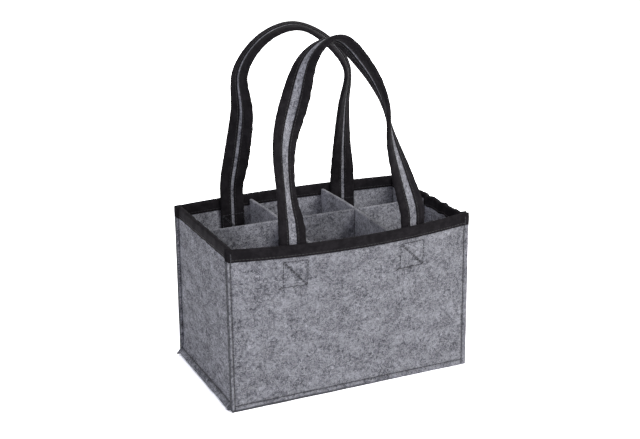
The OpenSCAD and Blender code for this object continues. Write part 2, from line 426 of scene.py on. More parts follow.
@dataclass(frozen=True)
class SideWall(Form):
    """Side wall: u runs along Y and round the two turned edges, v is the height, w goes outward.

    Attributes:
        sizes: The bag's sizes.
        slump: How the soft bag gives way.
        end: Which side wall it is.
        bend: Radius of the turned edges' bends, on the outside of the felt.
        foot_lift: How far the folds at the feet are lifted off the floor.
        foot_height: Height at which that lift has faded.
        foot_round: How softly the foot starts to flare.
        front_blunt: Where on the turned edge the flare starts at the front corners, as a share.
        flare_span: Share of the turned edge over which the flare grows to full.
        lift_span: Share of the turned edge over which the lift grows to full.
        turned_from: How far round the bend the room for the rim's corner starts, as a sine.
    """

    sizes: Sizes
    slump: Slump
    end: End
    bend: float = 3.8 * MM
    foot_lift: float = 2 * MM
    foot_height: float = 20 * MM
    foot_round: float = 2 * MM
    front_blunt: float = 0.25
    flare_span: float = 0.78
    lift_span: float = 0.8
    turned_from: float = 0.3

    @property
    def straight(self) -> float:
        """Half length of the wall between its bends."""
        return self.sizes.in_y - self.bend

    @property
    def half(self) -> float:
        """Half length of the flat piece, turned edge included."""
        return self.straight + self.bend * QUARTER + self.reach_x - self.sizes.in_x - self.bend

    @property
    def reach_x(self) -> float:
        """How far out the turned edges reach."""
        return self.sizes.reach_x(self.end)

    @property
    def seam_u(self) -> float:
        """Where the upright seam lies on the flat piece."""
        return self.half - (self.reach_x - self.sizes.out_x)

    def place(self, flat: Points) -> Points:
        """Folds the wall: turned edges at both ends and a foot that flares out to the floor.

        Args:
            flat: Points of the flat wall.

        Returns:
            Their places in the frame.
        """
        u, v, w = flat.T
        s, r = self.sizes, self.bend
        turn = np.clip((np.abs(u) - self.straight) / r, 0, QUARTER)
        beyond = np.clip(np.abs(u) - self.straight - r * QUARTER, 0, None)
        x = s.in_x + r - (r - w) * np.cos(turn) + beyond
        y = np.where(turn > 0, np.sign(u) * (self.straight + (r - w) * np.sin(turn)), u)
        y = y - np.sign(u) * self.slump.room(eased(np.sin(turn), self.turned_from, 1.0), v)
        tip = np.clip((self.reach_x - x + w) / (self.reach_x - s.in_x), 0, 1)
        fall = s.base_top - v
        blunt = np.where(u < 0, self.front_blunt, 0.0)
        flare = (fall + np.hypot(fall, self.foot_round)) / 2 * eased(tip, blunt, blunt + self.flare_span)
        x = x + np.minimum(flare, s.base_top - self.foot_lift)
        lift = self.foot_lift * eased(tip, 0, self.lift_span) * np.clip(1 - v / self.foot_height, 0, 1)
        return self.slump.settle(np.column_stack((self.end.value * x, y, v + lift)))


@dataclass(frozen=True)
class Base(Form):
    """Base: u runs along X and v along Y, the short edges flare and the long edges turn down.

    Attributes:
        sizes: The bag's sizes.
        slump: How the soft bag gives way.
        flare_deg: How steeply the short edges go down.
        flare_bend: Radius of their bend at the underside.
        fold_bend: Radius of the long edges' bend at the underside.
        flare_x: Where the short edges start to bend.
    """

    sizes: Sizes
    slump: Slump
    flare_deg: float = 45.0
    flare_bend: float = 2 * MM
    fold_bend: float = 1 * MM
    flare_x: float = 112.4 * MM

    @property
    def fold_y(self) -> float:
        """Where the long edges start to turn down."""
        return self.sizes.in_y - self.sizes.felt - self.fold_bend

    @property
    def half_u(self) -> float:
        """Half length of the flat piece."""
        r, a = self.flare_bend, math.radians(self.flare_deg)
        return self.flare_x + r * a + (self.sizes.base_lift - r * (1 - math.cos(a))) / math.sin(a)

    @property
    def half_v(self) -> float:
        """Half width of the flat piece."""
        return self.fold_y + self.fold_bend * QUARTER + self.sizes.base_lift - self.fold_bend

    def cut_away(self, u: float, v: float) -> bool:
        """True in the four corners, which are cut out so that the edges can be turned."""
        return abs(u) > self.flare_x - MM and abs(v) > self.fold_y - MM

    @staticmethod
    def bent(t: np.ndarray, w: np.ndarray, start: float, radius: float,
             angle: float) -> tuple[np.ndarray, np.ndarray]:
        """A strip that bends down past start, seen from its edge.

        Args:
            t: Distance along the strip, from its middle.
            w: Height above the strip's underside.
            start: Where the bend starts.
            radius: Radius of the bend at the underside.
            angle: How far it bends, in radians.

        Returns:
            The distance out from the middle and the height over the flat underside.
        """
        turn = np.clip((t - start) / radius, 0, angle)
        past = np.clip(t - start - radius * angle, 0, None)
        out = np.minimum(t, start) + (radius + w) * np.sin(turn) + past * math.cos(angle)
        up = (radius + w) * np.cos(turn) - radius - past * math.sin(angle)
        return out, up

    def place(self, flat: Points) -> Points:
        """Turns the four edges down.

        Args:
            flat: Points of the flat piece.

        Returns:
            Their places in the frame.
        """
        u, v, w = flat.T
        x, z_flare = self.bent(np.abs(u), w, self.flare_x, self.flare_bend, math.radians(self.flare_deg))
        y, z_fold = self.bent(np.abs(v), w, self.fold_y, self.fold_bend, QUARTER)
        z = self.sizes.base_lift + np.where(np.abs(v) > self.fold_y, z_fold, z_flare)
        return self.slump.settle(np.column_stack((np.sign(u) * x, np.sign(v) * y, z)))


@dataclass(frozen=True)
class LongDivider(Form):
    """Divider along the middle: u runs along X, v is the height.

    Attributes:
        sizes: The bag's sizes.
        slump: How the soft bag gives way.
    """

    sizes: Sizes
    slump: Slump

    def place(self, flat: Points) -> Points:
        """Stands the divider up in the middle of the bag."""
        u, v, w = flat.T
        return self.slump.settle(np.column_stack((u, w - self.sizes.felt / 2, v)))


@dataclass(frozen=True)
class CrossDivider(Form):
    """Divider from front to back: u runs along Y, v is the height.

    Attributes:
        sizes: The bag's sizes.
        slump: How the soft bag gives way.
        end: On which side of the bag it stands.
        lean: How far its two ends lean, one to each side.
    """

    sizes: Sizes
    slump: Slump
    end: End
    lean: float = 1.0 * MM

    def place(self, flat: Points) -> Points:
        """Stands the divider up, with a slight lean towards its two ends.

        Args:
            flat: Points of the flat piece.

        Returns:
            Their places in the frame.
        """
        u, v, w = flat.T
        s = self.sizes
        lean = self.lean * np.sin(math.pi * u / s.in_y) * (v / s.rim_top) ** 2
        x = self.end.value * s.cross_x + w - s.felt / 2 + lean
        return self.slump.settle(np.column_stack((x, u, v)))


@dataclass(frozen=True)
class RimFold(Form):
    """Tape folded over a wall's top edge: u runs along the wall, v is 0 on top and grows outward.

    Attributes:
        wall: The wall's own form.
        sizes: The bag's sizes.
        ends: Where the flat wall starts and stops.
        hug: Distance between the tape and the felt.
        puff: How far the tape puffs out on its outside.
        inner_puff: How much of that it puffs out on its inside.
        seam_in: How far from the tape's edges it lies flat again.
        pinch: How far the fold is pinched shut at its ends, as a share.
        pinch_length: How far from its ends it is open again.
    """

    wall: Form
    sizes: Sizes
    ends: tuple[float, float]
    hug: float = 0.05 * MM
    puff: float = 0.3 * MM
    inner_puff: float = 0.3
    seam_in: float = 2.2 * MM
    pinch: float = 0.8
    pinch_length: float = 2.2 * MM

    @property
    def radius(self) -> float:
        """Radius of the fold at the side of the tape that lies on the felt."""
        return self.sizes.felt / 2 + self.hug

    @property
    def centre(self) -> float:
        """Height of the fold's centre."""
        return self.sizes.rim_top - self.sizes.tape - self.radius

    @property
    def bend(self) -> float:
        """Half width of the part that goes round the rim."""
        return self.radius * QUARTER

    @property
    def leg(self) -> float:
        """Width of the flat part on each side of the wall."""
        return self.centre - self.sizes.rim_low

    def place(self, flat: Points) -> Points:
        """Folds the tape over the rim, puffed a little below its fold and pinched shut at its ends.

        Args:
            flat: Points of the flat piece.

        Returns:
            Their places in the frame.
        """
        u, v, w = flat.T
        turn = np.clip(v / self.radius, -QUARTER, QUARTER)
        drop = np.clip(np.abs(v) - self.bend, 0, None)
        swell = self.puff * np.sin(math.pi * np.clip(drop / (self.leg - self.seam_in), 0, 1))
        swell = np.where(v > 0, swell, self.inner_puff * swell)
        near = np.minimum(u - self.ends[0], self.ends[1] - u)
        shut = self.pinch * (1 - eased(near, 0, self.pinch_length))
        out = (self.radius * (1 - shut) + w + swell) * np.sin(turn)
        up = self.centre + (self.radius + w) * np.cos(turn) - drop
        return self.wall.place(np.column_stack((u, up, self.sizes.felt / 2 + out)))


class Station(NamedTuple):
    """One place on a handle's loop.

    Attributes:
        place: Its distance from the middle, as a share of half the gap between the legs.
        rise: Its height over the bending line, as a share of the loop's rise.
        turn_deg: How far the strap's width is turned from pointing to the front.
    """

    place: float
    rise: float
    turn_deg: float


@dataclass(frozen=True)
class StrapSizes:
    """Sizes that the two handles share.

    Attributes:
        width: Width of the bound strap.
        felt: Thickness of its felt.
        tape: Thickness of its tape.
        stripe_out: Width of the bare stripe on the outer face.
        stripe_in: Width of the bare stripe on the inner face.
        gap: Distance between the middles of the two legs.
        flat_root: Height over the bending line at which the loop's curve starts.
        lead: How far under that its leading point lies, which sets the curve's first direction.
        step: Distance between the points that the strap is bent along.
    """

    width: float = 25 * MM
    felt: float = 2.6 * MM
    tape: float = 0.7 * MM
    stripe_out: float = 7 * MM
    stripe_in: float = 3.1 * MM
    gap: float = 120 * MM
    flat_root: float = 8 * MM
    lead: float = 38 * MM
    step: float = 1.5 * MM

    @property
    def half_thick(self) -> float:
        """Half thickness of the bound strap."""
        return self.felt / 2 + self.tape


@dataclass
class Strap(Form):
    """A handle's strap: u runs along it, v across it towards the loop's inside, w to the front.

    Attributes:
        sizes: The bag's sizes.
        slump: How the soft bag gives way.
        strap: The strap's own sizes.
        face: The long wall that it is sewn to.
        hinge: The middle of its bending line.
        run: The stations of its loop, from left to right.
        rise: Height of the loop's crown over the bending line.
        lean: How far the crown leans inward.
        press: How far its ends are pressed into the felt under the rim tape.
        press_drop: How far under the rim tape that starts.
        release: Height over the rim at which it no longer follows the wall's bow.
        leg_points: Points along each sewn leg.
        knot_steps: Points between two stations.
        length: The whole strap's length, sewn ends included.
    """

    sizes: Sizes
    slump: Slump
    strap: StrapSizes
    face: Face
    hinge: Vector
    run: Sequence[Station]
    rise: float
    lean: float
    press: float = 0.5 * MM
    press_drop: float = 4 * MM
    release: float = 30 * MM
    leg_points: int = 30
    knot_steps: int = 24
    length: float = field(init=False)

    def __post_init__(self) -> None:
        """Works out the strap's middle line and its two directions along it."""
        points, turns = self._loop()
        z = np.linspace(self.sizes.sewn_low, self.hinge.z, self.leg_points, endpoint=False)
        left, right = (np.column_stack((np.full_like(z, x), self._wall_y(x, z), z))
                       for x in (points[0][0], points[-1][0]))
        points = np.vstack((left, points, right[::-1]))
        sewn = np.full(self.leg_points, AGAINST_WALL_DEG)
        turns = np.concatenate((sewn, turns, sewn))
        travel = np.concatenate(([0.0], np.cumsum(np.linalg.norm(np.diff(points, axis=0), axis=1))))
        self.length = float(travel[-1])
        u = np.linspace(0, self.length, round(self.length / self.strap.step) + 1)
        middle = np.column_stack([self._softened(np.interp(u, travel, points[:, k])) for k in range(3)])
        turn = np.radians(np.interp(u, travel, turns))
        tangent = np.gradient(middle, axis=0)
        tangent /= np.linalg.norm(tangent, axis=1)[:, None]
        side = np.cross(tangent, (0.0, -1.0, 0.0))
        side /= np.linalg.norm(side, axis=1)[:, None]
        up = np.cross(side, tangent)
        across = np.cos(turn)[:, None] * up + np.sin(turn)[:, None] * side
        self._u = u
        self._middle = middle
        self._across = across
        self._facing = np.cross(across, tangent)

    def _wall_y(self, x: float, z: np.ndarray) -> np.ndarray:
        """Where the middle of the strap lies against the inside of the wall.

        Args:
            x: The leg's place along the wall.
            z: Heights.

        Returns:
            One place on Y for each height.
        """
        s = self.sizes
        below = 1 - eased(z, s.rim_low - self.press_drop, s.rim_low)
        inset = s.in_y - s.tape - self.strap.half_thick + self.press * below
        return self.face.value * (inset + self.slump.bow(np.full(len(z), x), z))

    @staticmethod
    def _softened(values: np.ndarray, half: int = 3) -> np.ndarray:
        """A running mean that keeps both ends, so that the strap has no kink at the rim."""
        padded = np.pad(values, half, mode="reflect", reflect_type="odd")
        return np.convolve(padded, np.full(2 * half + 1, 1 / (2 * half + 1)), mode="valid")

    def _loop(self) -> tuple[Points, np.ndarray]:
        """The loop's middle line above the bending line, and the turn of the strap along it.

        Returns:
            Points from the left leg to the right leg, and one turn in degrees for each.
        """
        s, x = self.strap, self.strap.gap / 2
        low = (s.flat_root - s.lead, s.flat_root)
        knots = [(-x, up, AGAINST_WALL_DEG) for up in low]
        knots += [(p.place * x, p.rise * self.rise, p.turn_deg) for p in self.run]
        knots += [(x, up, AGAINST_WALL_DEG) for up in reversed(low)]
        rows = []
        for a, b, c, d in zip(knots, knots[1:], knots[2:], knots[3:]):
            for t in np.linspace(0, 1, self.knot_steps, endpoint=False):
                rows.append([self._between(*four, t) for four in zip(a, b, c, d)])
        rows.append(list(knots[-2]))
        across, up, turns = np.array(rows).T
        share = (up - s.flat_root) / (self.rise - s.flat_root)
        y = self.face.value * (abs(self.hinge.y) - self.lean * share)
        return np.column_stack((across, y, self.hinge.z + up)), turns

    @staticmethod
    def _between(a: float, b: float, c: float, d: float, t: float) -> float:
        """A value on the smooth curve from b to c.

        Args:
            a: The value before b.
            b: The value where the curve starts.
            c: The value where it ends.
            d: The value after c.
            t: How far along it lies, from 0 to 1.

        Returns:
            The value.
        """
        square = (2 * a - 5 * b + 4 * c - d) * t * t
        cube = (3 * b - a - 3 * c + d) * t * t * t
        return (2 * b + (c - a) * t + square + cube) / 2

    def place(self, flat: Points) -> Points:
        """Carries flat points along the strap; w is measured from the middle of its thickness.

        Args:
            flat: Points of the flat piece.

        Returns:
            Their places in the frame.
        """
        u, v, w = flat.T
        at = [np.column_stack([np.interp(u, self._u, a[:, k]) for k in range(3)])
              for a in (self._middle, self._across, self._facing)]
        for k in (1, 2):
            at[k] /= np.linalg.norm(at[k], axis=1)[:, None]
        p = at[0] + at[1] * v[:, None] + at[2] * w[:, None]
        rim = self.sizes.rim_top
        hugs = 1 - eased(p[:, 2], rim, rim + self.release)
        off = self.slump.bow(p[:, 0], p[:, 2]) - self.slump.bow(at[0][:, 0], p[:, 2])
        p[:, 1] += self.face.value * off * hugs
        return self.slump.sunk(p)


@dataclass(frozen=True)
class StrapFelt(Form):
    """The felt strip inside a strap.

    Attributes:
        strap: The strap's own form.
    """

    strap: Strap

    def place(self, flat: Points) -> Points:
        """Centres the strip's thickness on the strap."""
        return self.strap.place(flat - (0, 0, self.strap.strap.felt / 2))


@dataclass(frozen=True)
class StrapFold(Form):
    """Tape folded over one edge of a strap: v is 0 on the fold and grows onto the forward face.

    Attributes:
        strap: The strap's own form.
        edge: Which of its edges the tape binds.
        puff: How far the tape puffs out beside its fold.
        seam_in: How far from the tape's edges it lies flat again.
        sway: The sway of the fold along the strap.
        outer_sway: How much of it there is on the edge outside the loop.
        sway_reach: How far from the fold it fades.
    """

    strap: Strap
    edge: Edge
    puff: float = 0.22 * MM
    seam_in: float = 1.6 * MM
    sway: Ripple = Ripple(height=0.35 * MM, length=12 * MM, start=0.0, second_share=0.7,
                          second_ratio=1.61, second_start=1.3)
    outer_sway: float = 0.35
    sway_reach: float = 4 * MM

    @property
    def radius(self) -> float:
        """Radius of the fold at the side of the tape that lies on the felt."""
        return self.strap.strap.felt / 2

    @property
    def bend(self) -> float:
        """Half width of the part that goes round the edge."""
        return self.radius * QUARTER

    @property
    def fold_at(self) -> float:
        """Distance of the fold's centre from the strap's middle."""
        return self.strap.strap.width / 2 - self.strap.strap.half_thick

    def legs(self) -> tuple[float, float]:
        """Widths of the tape's flat part on the strap's two faces.

        Returns:
            The width on the rear face and the width on the forward face.
        """
        s = self.strap.strap
        out, into = self.fold_at - s.stripe_out / 2, self.fold_at - s.stripe_in / 2
        return (into, out) if self.strap.face is Face.FRONT else (out, into)

    def place(self, flat: Points) -> Points:
        """Folds the tape round the strap's edge, which sways a little.

        Args:
            flat: Points of the flat piece.

        Returns:
            Their places in the frame.
        """
        u, v, w = flat.T
        turn = np.clip(v / self.radius, -QUARTER, QUARTER)
        past = np.clip(np.abs(v) - self.bend, 0, None)
        rear, fore = self.legs()
        leg = np.where(v > 0, fore, rear)
        swell = self.puff * np.sin(math.pi * np.clip(past / (leg - self.seam_in), 0, 1))
        reach = self.radius + w
        sway = self.sway.height * self.sway.at(u) / (1 + self.sway.second_share)
        sway = sway * (1.0 if self.edge is Edge.INSIDE_LOOP else self.outer_sway)
        sway = sway * np.exp(-((past / self.sway_reach) ** 2))
        out = self.fold_at + reach * np.cos(turn) - past + sway
        up = (reach + swell) * np.sin(turn)
        return self.strap.place(np.column_stack((u, self.edge.value * out, up)))


# Flat pieces and stitches


@dataclass(frozen=True)
class Row:
    """One straight row of stitches on a flat piece.

    Attributes:
        start: Where it starts.
        stop: Where it stops.
        depth: How hard it presses the felt, 1 being a full seam; it also sets the painted shade along the row.
    """

    start: tuple[float, float]
    stop: tuple[float, float]
    depth: float = 1.0

    def distance(self, u: np.ndarray, v: np.ndarray) -> np.ndarray:
        """How far flat points lie from the row.

        Args:
            u: The points' places along the piece.
            v: The points' places across it.

        Returns:
            One distance for each point.
        """
        (u0, v0), (u1, v1) = self.start, self.stop
        du, dv = u1 - u0, v1 - v0
        t = np.clip(((u - u0) * du + (v - v0) * dv) / (du * du + dv * dv), 0, 1)
        return np.hypot(u - u0 - t * du, v - v0 - t * dv)


# The stitched boxes: how hard their rows press the felt, and where the diagonal and the tails lie
SIDE_DEPTH = 0.45
DIAGONAL_DEPTH = 0.6
DIAGONAL_SHIFTS = (-0.35 * MM, 0.35 * MM)
DIAGONAL_INSET = 1.5 * MM
TAIL_DEPTH = 0.3
TAILS_MM = (
    (-5.0, -1.6, 0.6, 0.9), (-4.2, 1.4, -1.2, -2.2), (-2.6, 2.2, -0.4, -1.4), (8.6, -1.8, 13.4, 1.2),
)


def boxed_diagonal(centre: tuple[float, float], width: float, height: float) -> list[Row]:
    """The rows of a stitched box with its diagonal.

    Args:
        centre: The box's middle on the flat piece.
        width: Its size along the piece.
        height: Its size across the piece.

    Returns:
        Four lightly pressed sides and the falling diagonal, which is sewn twice.
    """
    u, v = centre
    a, b = width / 2, height / 2
    corners = [(u - a, v - b), (u + a, v - b), (u + a, v + b), (u - a, v + b)]
    sides = [Row(p, q, SIDE_DEPTH) for p, q in zip(corners, corners[1:] + corners[:1])]
    left, top = u - a + DIAGONAL_INSET, v + b - DIAGONAL_INSET
    twice = [Row((left + k, top + k), (u + a + k, v - b + k), DIAGONAL_DEPTH) for k in DIAGONAL_SHIFTS]
    return sides + twice


def thread_tails(u: float, v: float) -> list[Row]:
    """Short loose stitches where the sewing of a box starts and ends, by its lower left corner."""
    return [Row((u + a * MM, v + b * MM), (u + c * MM, v + d * MM), TAIL_DEPTH) for a, b, c, d in TAILS_MM]


def fold_lines(bend: float, before: float, after: float, flat_lines: int = 7,
               bend_lines: int = 9) -> np.ndarray:
    """Grid lines across a tape that is folded lengthwise.

    Args:
        bend: Half width of the part that goes round the edge.
        before: Width of the flat part on one side of it.
        after: Width of the flat part on the other side.
        flat_lines: Lines across each flat part.
        bend_lines: Lines across the bend, its two ends included.

    Returns:
        The lines' places in rising order.
    """
    first = np.linspace(-bend - before, -bend, flat_lines)
    middle = np.linspace(-bend, bend, bend_lines)
    last = np.linspace(bend, bend + after, flat_lines)
    return np.concatenate((first, middle[1:-1], last))


@dataclass
class Cut:
    """A flat piece before it is folded.

    Attributes:
        u_lines: Grid lines along the piece.
        v_lines: Grid lines across the piece.
        thick: Its thickness.
        rounding: Radius of its cut edges.
        cut_away: True where the piece is cut out.
        rows: The rows of stitches that press it down.
        swell: Height of its slow, soft waves.
        seed: Shifts the waves and the pattern of its fibres.
        painted_edge_shade: How much painted shade darkens its cut edges, from 0 to 1.
        painted_foot_shadow: How much a painted contact shadow darkens its lower edge, most of all at its left.
        grain: Stretches the pattern of its fibres along the piece.
        PRESS: How much a full seam thins the felt.
        PRESS_WIDTH: How far from its stitches it does so.
        PAINTED_SEAM_SHADE: How much painted shade in the groove of a full seam darkens the felt.
        EDGE_SKIN: Depths under a face where the painted shade of a cut edge starts and is full.
        FOOT_HEIGHTS: Heights between which the painted contact shadow at the lower edge fades.
        FOOT_PLACES: Places along the piece between which it fades.
        SHARP: Edges that turn by more than this, in radians, are rounded.
        SHIFT_MM: How far one seed shifts the pattern.
        WAVES: Number of the waves.
        WAVE_LENGTHS_MM: Their shortest and their longest length.
    """

    u_lines: np.ndarray
    v_lines: np.ndarray
    thick: float
    rounding: float
    cut_away: Callable[[float, float], bool] | None = None
    rows: Sequence[Row] = ()
    swell: float = 0.0
    seed: int = 0
    painted_edge_shade: float = 0.2
    painted_foot_shadow: float = 0.0
    grain: float = 1.0

    PRESS = 0.42
    PRESS_WIDTH = 1.3 * MM
    PAINTED_SEAM_SHADE = 0.72
    EDGE_SKIN = (0.05 * MM, 0.6 * MM)
    FOOT_HEIGHTS = (1.9 * MM, 3.4 * MM)
    FOOT_PLACES = (-60 * MM, 110 * MM)
    SHARP = 1.0
    SHIFT_MM = 137.0
    WAVES = 7
    WAVE_LENGTHS_MM = (22, 70)

    def mesh(self, name: str, form: Form) -> bpy.types.Mesh:
        """Cuts the piece, presses its seams and folds it into place.

        Args:
            name: The mesh's name.
            form: Where the flat points go.

        Returns:
            The finished mesh, with its flat points in the attribute that the finishes read.
        """
        bm = bmesh.new()
        nu, nv = len(self.u_lines) - 1, len(self.v_lines) - 1
        bmesh.ops.create_grid(bm, x_segments=nu, y_segments=nv, size=0.5)
        for vert in bm.verts:
            vert.co.x = self.u_lines[round((vert.co.x + 0.5) * nu)]
            vert.co.y = self.v_lines[round((vert.co.y + 0.5) * nv)]
        if self.cut_away:
            gone = [f for f in bm.faces if self.cut_away(*f.calc_center_median()[:2])]
            bmesh.ops.delete(bm, geom=gone, context="FACES")
        top = bmesh.ops.extrude_face_region(bm, geom=bm.faces[:])["geom"]
        raised = [g for g in top if isinstance(g, bmesh.types.BMVert)]
        bmesh.ops.translate(bm, verts=raised, vec=(0, 0, self.thick))
        bmesh.ops.recalc_face_normals(bm, faces=bm.faces)
        sharp = [e for e in bm.edges if len(e.link_faces) == 2 and e.calc_face_angle() > self.SHARP]
        bmesh.ops.bevel(bm, geom=sharp, offset=self.rounding, segments=2, profile=0.5,
                        affect="EDGES", material=-1, clamp_overlap=True)
        mesh = taken_out(bm, name)
        flat = read_points(mesh)
        store_flat(mesh, flat * (1 / self.grain, 1, 1), self.seed * self.SHIFT_MM)
        # Painted shade for the felt's colour: seams' grooves, cut edges and a contact shadow at the foot
        worn_and_painted_shade = mesh.attributes.new(PAINTED_SHADE, "FLOAT", "POINT")
        worn_and_painted_shade.data.foreach_set("value", self.worn_and_painted_shade(flat).astype(np.float32))
        write_points(mesh, form.place(self.pressed(flat)))
        return turned_out(mesh)

    def seam_depth(self, flat: Points) -> np.ndarray:
        """How near each point is to a row of stitches: 1 on a full row and 0 away from it.

        Args:
            flat: Points of the flat piece.

        Returns:
            One number for each point.
        """
        depth = np.zeros(len(flat))
        for row in self.rows:
            off = row.distance(flat[:, 0], flat[:, 1])
            depth = np.maximum(depth, row.depth * np.exp(-((off / self.PRESS_WIDTH) ** 2)))
        return depth

    def worn_and_painted_shade(self, flat: Points) -> np.ndarray:
        """How much painted shade darkens the felt in its seams, on its cut edges and at its foot, 0 to 1.

        Args:
            flat: Points of the flat piece.

        Returns:
            One number for each point.
        """
        u, v, w = flat.T
        # Painted shade on the cut edges and in the seams' grooves, and a painted contact shadow at the foot
        cut = self.painted_edge_shade * eased(np.minimum(w, self.thick - w), *self.EDGE_SKIN)
        sewn = self.PAINTED_SEAM_SHADE * self.seam_depth(flat) ** 2
        foot = self.painted_foot_shadow * (1 - eased(v, *self.FOOT_HEIGHTS)) * (1 - eased(u, *self.FOOT_PLACES))
        return np.maximum.reduce((cut, sewn, foot))

    def pressed(self, flat: Points) -> Points:
        """Presses the piece down along its rows of stitches and gives it its soft waves.

        Args:
            flat: Points of the flat piece.

        Returns:
            The same points, still unfolded.
        """
        u, v, w = flat.T
        middle = self.thick / 2
        thinner = middle + (w - middle) * (1 - self.PRESS * self.seam_depth(flat))
        return np.column_stack((u, v, thinner + self.swell * self.waves(u, v)))

    def waves(self, u: np.ndarray, v: np.ndarray) -> np.ndarray:
        """Slow random waves, always the same for one seed.

        Args:
            u: Places along the piece.
            v: Places across it.

        Returns:
            One number from -1 to 1 for each place.
        """
        random = np.random.default_rng(self.seed)
        total = np.zeros(len(u))
        for _ in range(self.WAVES):
            angle, length = random.uniform(0, math.pi), random.uniform(*self.WAVE_LENGTHS_MM) * MM
            phase = random.uniform(0, 2 * math.pi)
            along = (u * math.cos(angle) + v * math.sin(angle)) / length
            total += np.sin(2 * math.pi * along + phase)
        return total / self.WAVES


def taken_out(bm: bmesh.types.BMesh, name: str) -> bpy.types.Mesh:
    """Turns an edited shape into a mesh and frees it.

    Args:
        bm: The shape.
        name: The mesh's name.

    Returns:
        The mesh.
    """
    mesh = bpy.data.meshes.new(name)
    bm.to_mesh(mesh)
    bm.free()
    return mesh


def read_points(mesh: bpy.types.Mesh) -> Points:
    """Reads the places of a mesh's points.

    Args:
        mesh: The mesh.

    Returns:
        One row for each point.
    """
    co = np.zeros(len(mesh.vertices) * 3)
    mesh.vertices.foreach_get("co", co)
    return co.reshape(-1, 3)


def write_points(mesh: bpy.types.Mesh, points: Points) -> None:
    """Moves the mesh's points to new places."""
    mesh.vertices.foreach_set("co", points.astype(np.float32).ravel())
    mesh.update()


def store_flat(mesh: bpy.types.Mesh, flat: Points, shift_mm: float = 0.0) -> None:
    """Keeps the flat points, in shifted millimetres, for the finishes."""
    attribute = mesh.attributes.new(FLAT, "FLOAT_VECTOR", "POINT")
    attribute.data.foreach_set("vector", (flat / MM + shift_mm).astype(np.float32).ravel())


def turned_out(mesh: bpy.types.Mesh) -> bpy.types.Mesh:
    """Turns the faces outward and shades them smooth.

    Args:
        mesh: The folded mesh.

    Returns:
        The same mesh.
    """
    bm = bmesh.new()
    bm.from_mesh(mesh)
    bmesh.ops.recalc_face_normals(bm, faces=bm.faces)
    bm.to_mesh(mesh)
    bm.free()
    mesh.polygons.foreach_set("use_smooth", [True] * len(mesh.polygons))
    mesh.update()
    return mesh


@dataclass(frozen=True)
class Stitching:
    """The stitches of one sewing thread.

    Attributes:
        pitch: Distance between the middles of two stitches.
        length: Length of a stitch.
        radius: Half its thickness.
        sunk: How deep it lies in the face, as a share of its thickness.
    """

    pitch: float = 3.3 * MM
    length: float = 2.95 * MM
    radius: float = 0.38 * MM
    sunk: float = 0.25

    def mesh(self, name: str, form: Form, rows: Sequence[tuple[Row, float, int]]) -> bpy.types.Mesh:
        """Lays stitches along rows of a flat piece and folds them into place with it.

        Args:
            name: The mesh's name.
            form: Where the flat points go.
            rows: Each row with the height of its face and the way that face looks, 1 or -1.

        Returns:
            One mesh of all the stitches.
        """
        single = self.single()
        round_one = read_points(single) * (self.length / 2, self.radius, self.radius)
        bm = bmesh.new()
        flat = []
        for row, face, looks in rows:
            start, stop = np.array(row.start), np.array(row.stop)
            run = stop - start
            length = float(np.hypot(*run))
            count = max(1, round(length / self.pitch))
            along = run / length
            turn = np.array([[along[0], along[1], 0], [-along[1], along[0], 0], [0, 0, 1]])
            height = face + looks * self.radius * (1 - 2 * self.sunk)
            for k in range(count):
                bm.from_mesh(single)
                at = start + run * ((k + 0.5) / count)
                flat.append(round_one @ turn + (*at, height))
        mesh = taken_out(bm, name)
        points = np.vstack(flat)
        store_flat(mesh, points)
        write_points(mesh, form.place(points))
        return turned_out(mesh)

    @staticmethod
    def single() -> bpy.types.Mesh:
        """One round stitch that lies along X.

        Returns:
            A small mesh of radius 1, which the stitches share.
        """
        bm = bmesh.new()
        bmesh.ops.create_uvsphere(bm, u_segments=7, v_segments=5, radius=1,
                                  matrix=Matrix.Rotation(QUARTER, 4, "Y"))
        return taken_out(bm, "stitch")


# Finishes


